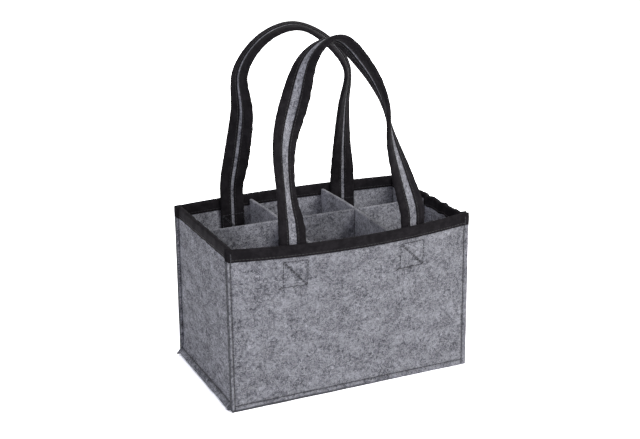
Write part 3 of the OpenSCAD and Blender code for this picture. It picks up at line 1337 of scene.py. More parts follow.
class Nodes:
    """A tree of nodes, with short calls for what the finishes and the stage share."""

    def __init__(self, tree: bpy.types.NodeTree) -> None:
        """Takes over a tree."""
        self.tree = tree

    def node(self, kind: str, **settings: object) -> bpy.types.Node:
        """Adds a node and sets its properties.

        Args:
            kind: The node's type.
            **settings: Its properties.

        Returns:
            The node.
        """
        made = self.tree.nodes.new(kind)
        for name, value in settings.items():
            setattr(made, name, value)
        return made

    def put(self, socket: bpy.types.NodeSocket, value: object) -> None:
        """Links or sets one input.

        Args:
            socket: The input.
            value: The output that it is linked to, or a plain value.
        """
        if isinstance(value, bpy.types.NodeSocket):
            self.tree.links.new(value, socket)
        else:
            socket.default_value = value

    def feed(self, node: bpy.types.Node, **inputs: object) -> None:
        """Links or sets a node's inputs; an underscore stands for a space in a name."""
        for name, value in inputs.items():
            self.put(node.inputs[name.replace("_", " ")], value)

    def fill(self, node: bpy.types.Node, *inputs: object) -> None:
        """Links or sets a node's inputs in their order."""
        for socket, value in zip(node.inputs, inputs):
            self.put(socket, value)

    def maths(self, kind: str, a: object, b: object) -> bpy.types.NodeSocket:
        """Combines two numbers.

        Args:
            kind: The Math node's operation.
            a: The first number, or the output that gives it.
            b: The second one.

        Returns:
            The result.
        """
        made = self.node("ShaderNodeMath", operation=kind)
        self.fill(made, a, b)
        return made.outputs["Value"]

    def weighted(self, *parts: tuple[bpy.types.NodeSocket, float]) -> bpy.types.NodeSocket:
        """Adds up values.

        Args:
            *parts: Each value with its weight.

        Returns:
            Their weighted sum.
        """
        total = None
        for value, weight in parts:
            part = self.maths("MULTIPLY", value, weight)
            total = part if total is None else self.maths("ADD", total, part)
        return total

    def ranged(self, value: bpy.types.NodeSocket, low: float, high: float,
               to_low: float = 0.0, to_high: float = 1.0) -> bpy.types.NodeSocket:
        """Eases a value from one range to another.

        Args:
            value: The value.
            low: Where its own range starts.
            high: Where its own range ends.
            to_low: What low becomes.
            to_high: What high becomes.

        Returns:
            The eased value.
        """
        made = self.node("ShaderNodeMapRange", interpolation_type="SMOOTHSTEP")
        self.feed(made, Value=value, From_Min=low, From_Max=high, To_Min=to_low, To_Max=to_high)
        return made.outputs["Result"]

    def shown(self) -> bpy.types.NodeSocket:
        """1 where the camera or a gloss looks, and 0 for any other ray."""
        ray = self.node("ShaderNodeLightPath")
        return self.maths("MAXIMUM", ray.outputs["Is Camera Ray"], ray.outputs["Is Glossy Ray"])


class Shade(Nodes):
    """The nodes of one material.

    Attributes:
        BANDS_PER_UNIT: Bands that a wave texture has in each unit at scale 1, which is 10 / pi.
    """

    BANDS_PER_UNIT = 3.1831

    def __init__(self, name: str) -> None:
        """Starts a material with one Principled shader.

        Args:
            name: The material's name.
        """
        self.material = bpy.data.materials.new(name)
        self.material.use_nodes = True
        super().__init__(self.material.node_tree)
        self.shader = self.tree.nodes["Principled BSDF"]

    def flat(self) -> bpy.types.NodeSocket:
        """The point on the flat piece, in millimetres."""
        return self.node("ShaderNodeAttribute", attribute_name=FLAT).outputs["Vector"]

    def noise(self, at: bpy.types.NodeSocket, size_mm: float, detail: float = 2.0,
              roughness: float = 0.5, colour: bool = False) -> bpy.types.NodeSocket:
        """Cloudy noise.

        Args:
            at: The point.
            size_mm: About how large its blots are.
            detail: How many finer layers it has.
            roughness: How strong these are.
            colour: Whether it gives three numbers for each point instead of one.

        Returns:
            The noise, from 0 to 1.
        """
        made = self.node("ShaderNodeTexNoise")
        self.feed(made, Vector=at, Scale=1 / size_mm, Detail=detail, Roughness=roughness)
        return made.outputs["Color" if colour else "Fac"]

    def threads(self, at: bpy.types.NodeSocket, axis: str, pitch_mm: float) -> bpy.types.NodeSocket:
        """Parallel threads.

        Args:
            at: The point.
            axis: The axis across which they lie, X or Y.
            pitch_mm: Distance between two threads.

        Returns:
            Their height, from 0 to 1.
        """
        made = self.node("ShaderNodeTexWave", wave_type="BANDS", bands_direction=axis)
        self.feed(made, Vector=at, Scale=1 / (pitch_mm * self.BANDS_PER_UNIT), Distortion=0.0)
        return made.outputs["Fac"]

    def turned(self, at: bpy.types.NodeSocket, angle_deg: float,
               scale: tuple[float, float, float]) -> bpy.types.NodeSocket:
        """Turns the point in the piece's plane and then stretches it.

        Args:
            at: The point.
            angle_deg: How far it is turned.
            scale: How it is stretched.

        Returns:
            The point after that.
        """
        turn = self.node("ShaderNodeMapping")
        self.feed(turn, Vector=at, Rotation=(0, 0, math.radians(angle_deg)))
        stretch = self.node("ShaderNodeMapping")
        self.feed(stretch, Vector=turn.outputs["Vector"], Scale=scale)
        return stretch.outputs["Vector"]

    def shifted(self, at: bpy.types.NodeSocket, size_mm: float, reach_mm: float) -> bpy.types.NodeSocket:
        """Moves the point about, so that a straight pattern wanders.

        Args:
            at: The point.
            size_mm: About how long one turn of its wandering is.
            reach_mm: Twice the most that it moves each way.

        Returns:
            The point after that.
        """
        centred = self.node("ShaderNodeVectorMath", operation="SUBTRACT")
        self.fill(centred, self.noise(at, size_mm, detail=1.0, colour=True), (0.5, 0.5, 0.5))
        moved = self.node("ShaderNodeVectorMath", operation="MULTIPLY_ADD")
        self.fill(moved, centred.outputs["Vector"], (reach_mm,) * 3, at)
        return moved.outputs["Vector"]

    def mix(self, share: object, a: object, b: object) -> bpy.types.NodeSocket:
        """Mixes two colours.

        Args:
            share: How much of b there is, from 0 to 1.
            a: The first colour, or the output that gives it.
            b: The second one.

        Returns:
            The mixed colour.
        """
        # The node has sockets for every kind of data: its colours go in at 6 and 7 and come out at 2
        made = self.node("ShaderNodeMix", data_type="RGBA")
        for index, value in ((0, share), (6, a), (7, b)):
            self.put(made.inputs[index], value)
        return made.outputs[2]

    def bump(self, height: bpy.types.NodeSocket, depth: float) -> None:
        """Lifts the surface.

        Args:
            height: Where it is lifted, from 0 to 1.
            depth: How far 1 lifts it.
        """
        made = self.node("ShaderNodeBump")
        self.feed(made, Height=height, Distance=depth, Strength=1.0)
        self.feed(self.shader, Normal=made.outputs["Normal"])


@dataclass(frozen=True)
class FeltFinish:
    """Heather felt: pale and dark fibres pressed together into a mottled grey.

    Attributes:
        name: The material's name.
        tone_range: Tones below the first are all dark, and above the second all pale.
        fibre_cover: How strongly the single fibres show.
        dark: The darkest mottle.
        pale: The palest mottle.
        pale_fibre: Colour of the pale fibres.
        dark_fibre: Colour of the dark fibres.
        painted_shade_colour: Colour of pressed seams and cut edges.
        curl_mm: Size of the fibres' curls.
        curl_reach_mm: How far they curl.
        cloud_mm: Size of the large mottles.
        blot_mm: Size of the small mottles.
        grain_mm: Size of the grain.
        tones: Weights of the large mottles, the small ones and the grain in the tone.
        fibre_long_mm: Length of a fibre.
        fibre_wide_mm: Width of a fibre.
        pale_deg: Directions of the pale fibres.
        dark_deg: Directions of the dark fibres.
        pale_cut: Noise at which pale fibres start and are full.
        dark_cut: Noise at which dark fibres start and are full.
        bumps: Weights of the pale fibres, the grain and the small mottles in the bumps.
        bump_depth: Depth of the bumps.
        roughness: How matt the felt is.
        sheen: How much its nap shines at a low angle.
    """

    name: str = "felt"
    tone_range: tuple[float, float] = (0.80, 1.36)
    fibre_cover: float = 0.67
    dark: Colour = (0.096, 0.096, 0.116, 1)
    pale: Colour = (0.480, 0.482, 0.538, 1)
    pale_fibre: Colour = (0.74, 0.74, 0.80, 1)
    dark_fibre: Colour = (0.026, 0.026, 0.036, 1)
    # crease: Colour of the painted shade in seams, on cut edges and at the walls' foot.
    painted_shade_colour: Colour = (0.020, 0.020, 0.025, 1)
    curl_mm: float = 7.0
    curl_reach_mm: float = 5.0
    cloud_mm: float = 16.0
    blot_mm: float = 3.2
    grain_mm: float = 0.5
    tones: tuple[float, float, float] = (0.8, 1.0, 0.35)
    fibre_long_mm: float = 8.0
    fibre_wide_mm: float = 0.55
    pale_deg: tuple[float, ...] = (12, 74, 131)
    dark_deg: tuple[float, ...] = (41, 98, 163)
    pale_cut: tuple[float, float] = (0.57, 0.70)
    dark_cut: tuple[float, float] = (0.58, 0.70)
    bumps: tuple[float, float, float] = (0.5, 0.5, 0.8)
    bump_depth: float = 0.35 * MM
    roughness: float = 0.95
    sheen: float = 0.25

    def fibres(self, shade: Shade, at: bpy.types.NodeSocket, angles_deg: Sequence[float],
               cut: tuple[float, float]) -> bpy.types.NodeSocket:
        """How much of the surface is covered by fibres that lie in a few directions.

        Args:
            shade: The material's nodes.
            at: The point on the flat piece.
            angles_deg: The fibres' directions.
            cut: Noise below the first shows no fibre, and above the second is all fibre.

        Returns:
            The cover, from 0 to 1.
        """
        cover = None
        scale = (1 / self.fibre_long_mm, 1 / self.fibre_wide_mm, 1 / self.fibre_wide_mm)
        for angle in angles_deg:
            line = shade.ranged(shade.noise(shade.turned(at, angle, scale), 1.0, detail=1.0), *cut)
            cover = line if cover is None else shade.maths("MAXIMUM", cover, line)
        return cover

    def material(self) -> bpy.types.Material:
        """Makes the felt.

        Returns:
            The material.
        """
        shade = Shade(self.name)
        at = shade.flat()
        curled = shade.shifted(at, self.curl_mm, self.curl_reach_mm)
        clouds = shade.noise(curled, self.cloud_mm, detail=3.0, roughness=0.62)
        blots = shade.noise(curled, self.blot_mm, detail=3.0, roughness=0.6)
        grain = shade.noise(at, self.grain_mm, detail=2.0, roughness=0.6)
        tone = shade.weighted(*zip((clouds, blots, grain), self.tones))
        colour = shade.mix(shade.ranged(tone, *self.tone_range), self.dark, self.pale)
        pale = self.fibres(shade, curled, self.pale_deg, self.pale_cut)
        dark = self.fibres(shade, curled, self.dark_deg, self.dark_cut)
        colour = shade.mix(shade.maths("MULTIPLY", pale, self.fibre_cover), colour, self.pale_fibre)
        colour = shade.mix(shade.maths("MULTIPLY", dark, self.fibre_cover), colour, self.dark_fibre)
        # Painted shade, read from the mesh, darkens the colour in seams, on cut edges and at the foot
        worn_and_painted_shade = shade.node("ShaderNodeAttribute", attribute_name=PAINTED_SHADE).outputs["Fac"]
        shade.bump(shade.weighted(*zip((pale, grain, blots), self.bumps)), self.bump_depth)
        shade.feed(shade.shader, Base_Color=shade.mix(worn_and_painted_shade, colour, self.painted_shade_colour),
                   Roughness=self.roughness, Sheen_Weight=self.sheen, Sheen_Roughness=0.6,
                   Specular_IOR_Level=0.2)
        return shade.material


@dataclass(frozen=True)
class TapeFinish:
    """Black binding tape, closely woven, with fine ribs across it.

    Attributes:
        black: Colour between the threads.
        worn_and_painted_shade: Colour of the raised and hazy places.
        bend_mm: Size of the threads' bends.
        bend_reach_mm: How far they bend.
        rib_mm: Distance between two ribs.
        cord_mm: Distance between two threads along the tape.
        cord_share: Height of these threads, as a share of the ribs.
        haze_mm: Size of the haze's blots.
        haze_cut: Noise at which the haze starts and is full.
        tones: Weights of the weave and the haze in the tone.
        bump_depth: Depth of the weave.
        roughness: How matt the tape is.
    """

    black: Colour = (0.0070, 0.0062, 0.0075, 1)
    worn_and_painted_shade: Colour = (0.0290, 0.0262, 0.0295, 1)
    bend_mm: float = 9.0
    bend_reach_mm: float = 0.5
    rib_mm: float = 0.55
    cord_mm: float = 0.715
    cord_share: float = 0.75
    haze_mm: float = 7.0
    haze_cut: tuple[float, float] = (0.38, 0.68)
    tones: tuple[float, float] = (0.45, 0.55)
    bump_depth: float = 0.10 * MM
    roughness: float = 0.8

    def material(self) -> bpy.types.Material:
        """Makes the tape.

        Returns:
            The material.
        """
        shade = Shade("binding_tape")
        at = shade.flat()
        bent = shade.shifted(at, self.bend_mm, self.bend_reach_mm)
        ribs = shade.threads(bent, "X", self.rib_mm)
        cords = shade.threads(bent, "Y", self.cord_mm)
        weave = shade.maths("MAXIMUM", ribs, shade.maths("MULTIPLY", cords, self.cord_share))
        haze = shade.noise(at, self.haze_mm, detail=4.0, roughness=0.7)
        haze = shade.ranged(haze, *self.haze_cut)
        tone = shade.weighted(*zip((weave, haze), self.tones))
        shade.bump(weave, self.bump_depth)
        shade.feed(shade.shader, Base_Color=shade.mix(tone, self.black, self.worn_and_painted_shade),
                   Roughness=self.roughness, Specular_IOR_Level=0.05)
        return shade.material


@dataclass(frozen=True)
class ThreadFinish:
    """Twisted polyester sewing thread.

    Attributes:
        name: The material's name.
        colour: The thread's darker colour.
        paler: How many times paler it is where it catches the light.
        twist: How close its twists lie.
        fade_mm: Size of its paler places.
        bump_depth: Depth of its twist.
        roughness: How matt it is.
        sheen: How much it shines at a low angle.
    """

    name: str
    colour: Colour
    paler: float = 1.7
    twist: float = 0.9
    fade_mm: float = 4.0
    bump_depth: float = 0.08 * MM
    roughness: float = 0.55
    sheen: float = 0.1

    def material(self) -> bpy.types.Material:
        """Makes the thread.

        Returns:
            The material.
        """
        shade = Shade(self.name)
        at = shade.flat()
        twist = shade.node("ShaderNodeTexWave", wave_type="BANDS", bands_direction="DIAGONAL")
        shade.feed(twist, Vector=at, Scale=self.twist, Distortion=1.0)
        pale = tuple(min(1.0, self.paler * c) for c in self.colour[:3]) + (1,)
        share = shade.maths("MULTIPLY", twist.outputs["Fac"], shade.noise(at, self.fade_mm))
        shade.bump(twist.outputs["Fac"], self.bump_depth)
        shade.feed(shade.shader, Base_Color=shade.mix(share, self.colour, pale),
                   Roughness=self.roughness, Sheen_Weight=self.sheen)
        return shade.material


@dataclass
class Finishes:
    """The materials, each made once.

    Attributes:
        felt: The felt of the long walls, the base, the dividers and the straps.
        side_felt: The felt of the side walls, which is less mottled.
        tape: The binding tape.
        grey_thread: The thread in the felt.
        black_thread: The thread in the tape.
    """

    felt: bpy.types.Material = field(default_factory=lambda: FeltFinish().material())
    side_felt: bpy.types.Material = field(
        default_factory=lambda: FeltFinish("side_felt", (0.89, 1.29), 0.84).material())
    tape: bpy.types.Material = field(default_factory=lambda: TapeFinish().material())
    grey_thread: bpy.types.Material = field(
        default_factory=lambda: ThreadFinish("grey_thread", (0.022, 0.022, 0.028, 1)).material())
    black_thread: bpy.types.Material = field(
        default_factory=lambda: ThreadFinish("black_thread", (0.011, 0.011, 0.012, 1)).material())


def linked(name: str, data: bpy.types.ID) -> bpy.types.Object:
    """Puts an object into the scene.

    Args:
        name: The object's name.
        data: Its mesh, camera or light.

    Returns:
        The object.
    """
    made = bpy.data.objects.new(name, data)
    bpy.context.scene.collection.objects.link(made)
    return made


def add_piece(mesh: bpy.types.Mesh, finish: bpy.types.Material, nodes: Sequence[str] = ()) -> bpy.types.Object:
    """Puts a finished mesh into the scene.

    Args:
        mesh: The mesh, in place.
        finish: Its material.
        nodes: The CAD nodes that it stands for.

    Returns:
        The new object.
    """
    made = linked(mesh.name, mesh)
    mesh.materials.append(finish)
    if nodes:
        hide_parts(*nodes)
    log.info("%s: %d faces", mesh.name, len(mesh.polygons))
    return made


# The bag


@dataclass
class Bag:
    """Walls, base, rim binding and their stitching.

    Attributes:
        sizes: The bag's sizes.
        slump: How the soft bag gives way.
        finishes: The materials.
        fine: Distance between grid lines near a seam.
        coarse: Distance between grid lines elsewhere.
        reach: How far from a seam the fine lines go.
        long_reach: The same on the long walls and their tapes.
        side_reach: The same along the side walls.
        felt_rounding: Radius of the felt's cut edges.
        tape_rounding: Radius of the tape's edges.
        low_seam: Height of the bottom seam.
        upright_low: Height at which the upright seams start.
        upright_drop: How far under the rim's top they stop on the tape.
        box_x: Middles of the two stitched boxes of a long wall.
        box_z: Height of their middles.
        box_width: Their widths.
        box_height: Their height.
        rim_seam_up: Height of the rim's seam over the tape's lower edge.
        rim_bulge: How far the felt reaches up into the folded tape.
        corner_trim: How much of a wall's upper corners is trimmed away.
        wall_swell: Height of the walls' soft waves.
        wall_edge_shade: How much painted shade darkens the walls' cut edges.
        foot_shadow: How much a painted contact shadow darkens the long walls' lower edges.
        side_grain: How far the side walls' fibres are stretched.
        felt_sewing: The stitches in the felt.
        tape_sewing: The stitches in the rim tape.
        tape_seed: Shifts the tape's pattern.
    """

    sizes: Sizes
    slump: Slump
    finishes: Finishes
    fine: float = 1.1 * MM
    coarse: float = 3.2 * MM
    reach: float = 3.4 * MM
    long_reach: float = 7 * MM
    side_reach: float = 6 * MM
    felt_rounding: float = 0.8 * MM
    tape_rounding: float = 0.2 * MM
    low_seam: float = 6 * MM
    upright_low: float = 2 * MM
    upright_drop: float = 3 * MM
    box_x: tuple[float, float] = (-59 * MM, 57.9 * MM)
    box_z: float = 127 * MM
    box_width: tuple[float, float] = (22.8 * MM, 24.8 * MM)
    box_height: float = 24.4 * MM
    rim_seam_up: float = 2.2 * MM
    rim_bulge: float = 0.3 * MM
    corner_trim: float = 3.6 * MM
    wall_swell: float = 0.5 * MM
    wall_edge_shade: float = 0.9
    foot_shadow: float = 0.85
    side_grain: float = 1.6
    felt_sewing: Stitching = Stitching()
    tape_sewing: Stitching = Stitching(radius=0.28 * MM)
    tape_seed: int = 11

    def build(self) -> None:
        """Makes every piece of the bag."""
        for k, face in enumerate(Face):
            self.long_wall(face, seed=k + 1)
        for k, end in enumerate(End):
            self.side_wall(end, seed=k + 3)
        self.base(seed=5)

    @property
    def wall_top(self) -> float:
        """Top of the felt inside the folded tape."""
        wall = LongWall(self.sizes, self.slump, Face.FRONT)
        return RimFold(wall, self.sizes, (0, 0)).centre + self.rim_bulge

    def trimmed(self, ends: tuple[float, float]) -> Callable[[float, float], bool]:
        """A test for a wall's two upper corners, which are trimmed away inside the pinched tape."""
        low, high = ends[0] + self.corner_trim, ends[1] - self.corner_trim
        return lambda u, v: not low < u < high and v > self.sizes.rim_low + MM

    def sheet_rows(self, seam_u: float) -> list[Row]:
        """The bottom seam and the two upright seams of a wall.

        Args:
            seam_u: Where its upright seams lie.

        Returns:
            Three rows on the flat wall.
        """
        top = self.sizes.rim_low
        uprights = [Row((u, self.upright_low), (u, top)) for u in (-seam_u, seam_u)]
        return [Row((-seam_u, self.low_seam), (seam_u, self.low_seam)), *uprights]

    def long_wall(self, face: Face, seed: int) -> None:
        """Front or back wall with its tape and its stitches.

        Args:
            face: Which wall it is.
            seed: Shifts its waves and its fibres.
        """
        s, name = self.sizes, face.name.lower()
        form = LongWall(s, self.slump, face)
        low, high = self.box_z - self.box_height / 2, self.box_z + self.box_height / 2
        rows = self.sheet_rows(s.out_x)
        box_stops = []
        for x, width in zip(self.box_x, self.box_width):
            rows += boxed_diagonal((x, self.box_z), width, self.box_height)
            rows += thread_tails(x - width / 2, low)
            box_stops += [x - width / 2, x, x + width / 2]
        ends = (-s.reach_x(End.LEFT), s.reach_x(End.RIGHT))
        u_stops = [ends[0], -s.out_x, *box_stops, s.out_x, ends[1]]
        v_stops = [0.0, self.low_seam, low, self.box_z, high, s.rim_low, self.wall_top]
        # Painted shade on the cut edges and seams, and a painted contact shadow along the lower edge
        cut = Cut(self.lines(u_stops, self.long_reach), self.lines(v_stops, self.long_reach), s.felt,
                  self.felt_rounding, self.trimmed(ends), rows=rows, swell=self.wall_swell, seed=seed,
                  painted_edge_shade=self.wall_edge_shade, painted_foot_shadow=self.foot_shadow)
        wall = add_piece(cut.mesh(f"{name}_wall", form), self.finishes.felt, [f"{name}_panel"])
        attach(wall, "bag")
        self.wall_top
        self.stitches(f"{name}_wall_stitches", form, rows, s.out_x)
        self.binding(name, form, ends, s.out_x)

    def side_wall(self, end: End, seed: int) -> None:
        """Side wall with its tape and its stitches.

        Args:
            end: Which wall it is.
            seed: Shifts its waves and its fibres.
        """
        s, name = self.sizes, end.name.lower()
        form = SideWall(s, self.slump, end)
        seam_u, ends = form.seam_u, (-form.half, form.half)
        rows = self.sheet_rows(seam_u)
        u_stops = [-form.half, -seam_u, -form.straight, form.straight, seam_u, form.half]
        v_stops = [0.0, self.low_seam, 2 * self.low_seam, s.rim_low, self.wall_top]
        # Painted shade on the cut edges and seams
        cut = Cut(self.lines(u_stops, self.side_reach), self.lines(v_stops, self.reach), s.felt,
                  self.felt_rounding, self.trimmed(ends), rows=rows, swell=self.wall_swell, seed=seed,
                  painted_edge_shade=self.wall_edge_shade, grain=self.side_grain)
        wall = add_piece(cut.mesh(f"{name}_wall", form), self.finishes.side_felt, [f"{name}_panel"])
        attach(wall, "bag")
        2 * form.half
        self.wall_top
        self.stitches(f"{name}_wall_stitches", form, rows, seam_u)
        self.binding(name, form, ends, seam_u)

    def base(self, seed: int) -> None:
        """Base with its four turned edges.

        Args:
            seed: Shifts its fibres.
        """
        form = Base(self.sizes, self.slump)
        u_stops = [-form.half_u, -form.flare_x, form.flare_x, form.half_u]
        v_stops = [-form.half_v, -form.fold_y, form.fold_y, form.half_v]
        cut = Cut(self.lines(u_stops, self.reach), self.lines(v_stops, self.reach), self.sizes.felt,
                  self.felt_rounding, cut_away=form.cut_away, seed=seed)
        base = add_piece(cut.mesh("base_sheet", form), self.finishes.felt, ["base_panel"])
        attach(base, "bag")

    def binding(self, name: str, wall: Form, ends: tuple[float, float], seam_u: float) -> None:
        """Tape folded over one wall's top edge, with its stitches.

        Args:
            name: The wall's name.
            wall: The wall's form.
            ends: Where the flat wall starts and stops.
            seam_u: Where its upright seams lie.
        """
        s, form = self.sizes, RimFold(wall, self.sizes, ends)
        u_lines = ruled([ends[0], -seam_u, seam_u, ends[1]], self.fine, 2 * MM, self.long_reach)
        v_lines = fold_lines(form.bend, form.leg, form.leg)
        cut = Cut(u_lines, v_lines, s.tape, self.tape_rounding, seed=self.tape_seed)
        tape = add_piece(cut.mesh(f"{name}_rim_binding", form), self.finishes.tape,
                         [f"rim_tape_{name}"])
        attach(tape, "bag")
        height = s.rim_low + self.rim_seam_up
        row = Row((-seam_u, height), (seam_u, height))
        rows = [(row, s.felt + s.tape + form.hug, 1), (row, -s.tape - form.hug, -1)]
        mesh = self.tape_sewing.mesh(f"{name}_rim_stitches", wall, rows)
        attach(add_piece(mesh, self.finishes.black_thread), "bag")

    def stitches(self, name: str, form: Form, rows: Sequence[Row], seam_u: float) -> None:
        """Grey stitches along rows of one wall, and over its tape at the upright seams.

        Args:
            name: The stitches' name.
            form: The wall's form.
            rows: The rows on its felt.
            seam_u: Where its upright seams lie.
        """
        s = self.sizes
        over = [Row((u, s.rim_low), (u, s.rim_top - self.upright_drop)) for u in (-seam_u, seam_u)]
        laid = [(row, s.felt * (1 - Cut.PRESS * row.depth / 2), 1) for row in rows]
        laid += [(row, s.felt + s.tape, 1) for row in over]
        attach(add_piece(self.felt_sewing.mesh(name, form, laid), self.finishes.grey_thread), "bag")

    def lines(self, stops: Sequence[float], reach: float) -> np.ndarray:
        """Grid lines of a wall."""
        return ruled(stops, self.fine, self.coarse, reach)


# The divider insert


@dataclass
class Insert:
    """Three slotted dividers, crossed and pushed into each other.

    Attributes:
        sizes: The bag's sizes.
        slump: How the soft bag gives way.
        finishes: The materials.
        slot_play: Gap on each side of a divider in its slot.
        fine: Distance between grid lines near a slot or an edge.
        coarse: Distance between grid lines elsewhere.
        reach: How far from a slot or an edge the fine lines go.
        rounding: Radius of the cut edges.
        swell: Height of the dividers' soft waves.
    """

    sizes: Sizes
    slump: Slump
    finishes: Finishes
    slot_play: float = 0.2 * MM
    fine: float = 1.2 * MM
    coarse: float = 4 * MM
    reach: float = 3 * MM
    rounding: float = 0.8 * MM
    swell: float = 0.15 * MM

    def build(self) -> None:
        """Makes the three dividers."""
        s = self.sizes
        lap = (s.divider_low + s.divider_top) / 2
        slot = s.felt / 2 + self.slot_play

        def from_above(u: float, v: float) -> bool:
            """True in the long divider's two slots."""
            return v > lap and abs(abs(u) - s.cross_x) < slot

        def from_below(u: float, v: float) -> bool:
            """True in a cross divider's slot."""
            return v < lap and abs(u) < slot

        x, c = s.divider_x, s.cross_x
        stops = [-x, -c - slot, -c + slot, c - slot, c + slot, x]
        self.divider("long_divider", LongDivider(s, self.slump), stops, lap, from_above, 6, "divider_long")
        y = s.divider_y
        for k, end in enumerate(End):
            name = f"{end.name.lower()}_cross_divider"
            form = CrossDivider(s, self.slump, end)
            stops = [-y, -slot, slot, y]
            self.divider(name, form, stops, lap, from_below, 7 + k, f"divider_cross_{end.name.lower()}")

    def divider(self, name: str, form: Form, u_stops: Sequence[float], lap: float,
                slot: Callable[[float, float], bool], seed: int, node: str) -> None:
        """One divider.

        Args:
            name: The piece's name.
            form: Where its flat points go.
            u_stops: Its ends and the sides of its slots.
            lap: Height at which the slots meet.
            slot: True where a slot is cut.
            seed: Shifts its waves and its fibres.
            node: The CAD node that it stands for.
        """
        s = self.sizes
        v_stops = [s.divider_low, lap, s.divider_top]
        cut = Cut(ruled(u_stops, self.fine, self.coarse, self.reach),
                  ruled(v_stops, self.fine, self.coarse, self.reach),
                  s.felt, self.rounding, cut_away=slot, swell=self.swell, seed=seed)
        made = add_piece(cut.mesh(name, form), self.finishes.felt, [node])
        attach(made, "divider_insert")


# The handles


@dataclass
class Handle:
    """A strap of felt bound with tape on both edges, sewn down inside a long wall.

    Attributes:
        sizes: The bag's sizes.
        slump: How the soft bag gives way.
        finishes: The materials.
        face: The long wall that it is sewn to.
        hinge: The middle of its bending line.
        run: The stations of its loop, from left to right.
        rise: Height of the loop's crown over the bending line.
        lean: How far the crown leans inward.
        strap: The strap's sizes.
        felt_step: Distance between grid lines along the strap.
        felt_lines: Grid lines across its felt.
        felt_inset: How far inside the bound edge the felt ends.
        felt_rounding: Radius of the felt's edges.
        tape_rounding: Radius of the tape's edges.
        bend_start: Height at which the strap starts to follow the handle; not used.
        bend_stop: Height from which it follows it fully; not used.
        seam_in: How far inside the tape's edge its stitches lie.
        box_up: Middle of the stitched box, from the strap's end.
        box_size: Length and width of the box.
        tape_sewing: The stitches in the tape.
        box_sewing: The stitches of the boxes.
        felt_seed: Shifts the felt's pattern.
        tape_seed: Shifts the tape's pattern.
        name: Front or back, as it starts the names of the pieces.
        form: The strap's own form.
        u_lines: Grid lines along the strap.
    """

    sizes: Sizes
    slump: Slump
    finishes: Finishes
    face: Face
    hinge: Vector
    run: Sequence[Station]
    rise: float
    lean: float
    strap: StrapSizes = StrapSizes()
    felt_step: float = 2 * MM
    felt_lines: int = 13
    felt_inset: float = 0.9 * MM
    felt_rounding: float = 0.7 * MM
    tape_rounding: float = 0.2 * MM
    bend_start: float = 155 * MM
    bend_stop: float = 176 * MM
    seam_in: float = 1.6 * MM
    box_up: float = 12 * MM
    box_size: tuple[float, float] = (22.5 * MM, 22.8 * MM)
    tape_sewing: Stitching = Stitching(pitch=3 * MM, length=2.5 * MM, radius=0.24 * MM)
    box_sewing: Stitching = Stitching()
    felt_seed: int = 20
    tape_seed: int = 12
    name: str = field(init=False)
    form: Strap = field(init=False)
    u_lines: np.ndarray = field(init=False)

    def __post_init__(self) -> None:
        """Lays out the bent strap and its grid lines."""
        self.name = self.face.name.lower()
        self.form = Strap(self.sizes, self.slump, self.strap, self.face, self.hinge, self.run, self.rise,
                          self.lean)
        steps = round(self.form.length / self.felt_step)
        self.u_lines = np.linspace(0, self.form.length, steps + 1)

    def build(self) -> None:
        """Makes the strap's felt, its two tapes and its stitches."""
        self.felt()
        for edge in Edge:
            self.tape(edge)
        self.stitches()

    def cross(self, piece: bpy.types.Object) -> None:
        """Bakes a piece's place into its mesh."""
        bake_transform(piece)

    def felt(self) -> None:
        """The felt strip."""
        half = self.strap.width / 2 - self.felt_inset
        v_lines = np.linspace(-half, half, self.felt_lines)
        cut = Cut(self.u_lines, v_lines, self.strap.felt, self.felt_rounding,
                  seed=self.felt_seed + self.face.value)
        nodes = [f"{self.name}_handle_felt", f"{self.name}_handle_end_felt"]
        mesh = cut.mesh(f"{self.name}_strap_felt", StrapFelt(self.form))
        felt = add_piece(mesh, self.finishes.felt, nodes)
        self.cross(felt)

    def tape(self, edge: Edge) -> None:
        """The tape on one edge.

        Args:
            edge: The edge that it binds.
        """
        form = StrapFold(self.form, edge)
        v_lines = fold_lines(form.bend, *form.legs())
        cut = Cut(self.u_lines, v_lines, self.strap.tape, self.tape_rounding,
                  seed=self.tape_seed + edge.value)
        which = "outer" if edge is Edge.OUTSIDE_LOOP else "inner"
        nodes = [f"{self.name}_handle_{which}_tape", f"{self.name}_handle_end_tape"]
        mesh = cut.mesh(f"{self.name}_strap_{which}_binding", form)
        tape = add_piece(mesh, self.finishes.tape, nodes)
        self.cross(tape)

    def stitches(self) -> None:
        """Rows along the tapes' edges, and a box with its diagonal on each sewn end."""
        s, inward = self.strap, self.face.value
        rows = []
        for looks in (1, -1):
            stripe = s.stripe_in if looks == inward else s.stripe_out
            for edge in Edge:
                v = edge.value * (stripe / 2 + self.seam_in)
                rows.append((Row((0, v), (self.form.length, v)), looks * s.half_thick, looks))
        mesh = self.tape_sewing.mesh(f"{self.name}_strap_stitches", self.form, rows)
        self.cross(add_piece(mesh, self.finishes.black_thread))
        boxes = []
        for u in (self.box_up, self.form.length - self.box_up):
            box = boxed_diagonal((u, 0), *self.box_size)
            boxes += [(row, inward * s.half_thick, inward) for row in box]
        mesh = self.box_sewing.mesh(f"{self.name}_strap_box_stitches", self.form, boxes)
        self.cross(add_piece(mesh, self.finishes.grey_thread))


# The stations of the two loops, from left to right
FRONT_RUN = (
    Station(-1.05, 0.234, 119), Station(-1.03, 0.488, 103), Station(-0.82, 0.708, 60),
    Station(-0.55, 0.919, 10), Station(-0.10, 1.000, -19), Station(0.34, 0.845, -14),
    Station(0.62, 0.651, 9), Station(0.71, 0.439, 43), Station(0.875, 0.225, 71),
)
BACK_RUN = (
    Station(-0.91, 0.254, 63), Station(-0.835, 0.508, 37), Station(-0.87, 0.756, 10),
    Station(-0.50, 0.940, 2), Station(0.055, 1.000, 6), Station(0.61, 0.896, 24),
    Station(1.00, 0.713, 34), Station(0.97, 0.481, 48), Station(0.97, 0.241, 67),
)


# Floor, light and camera


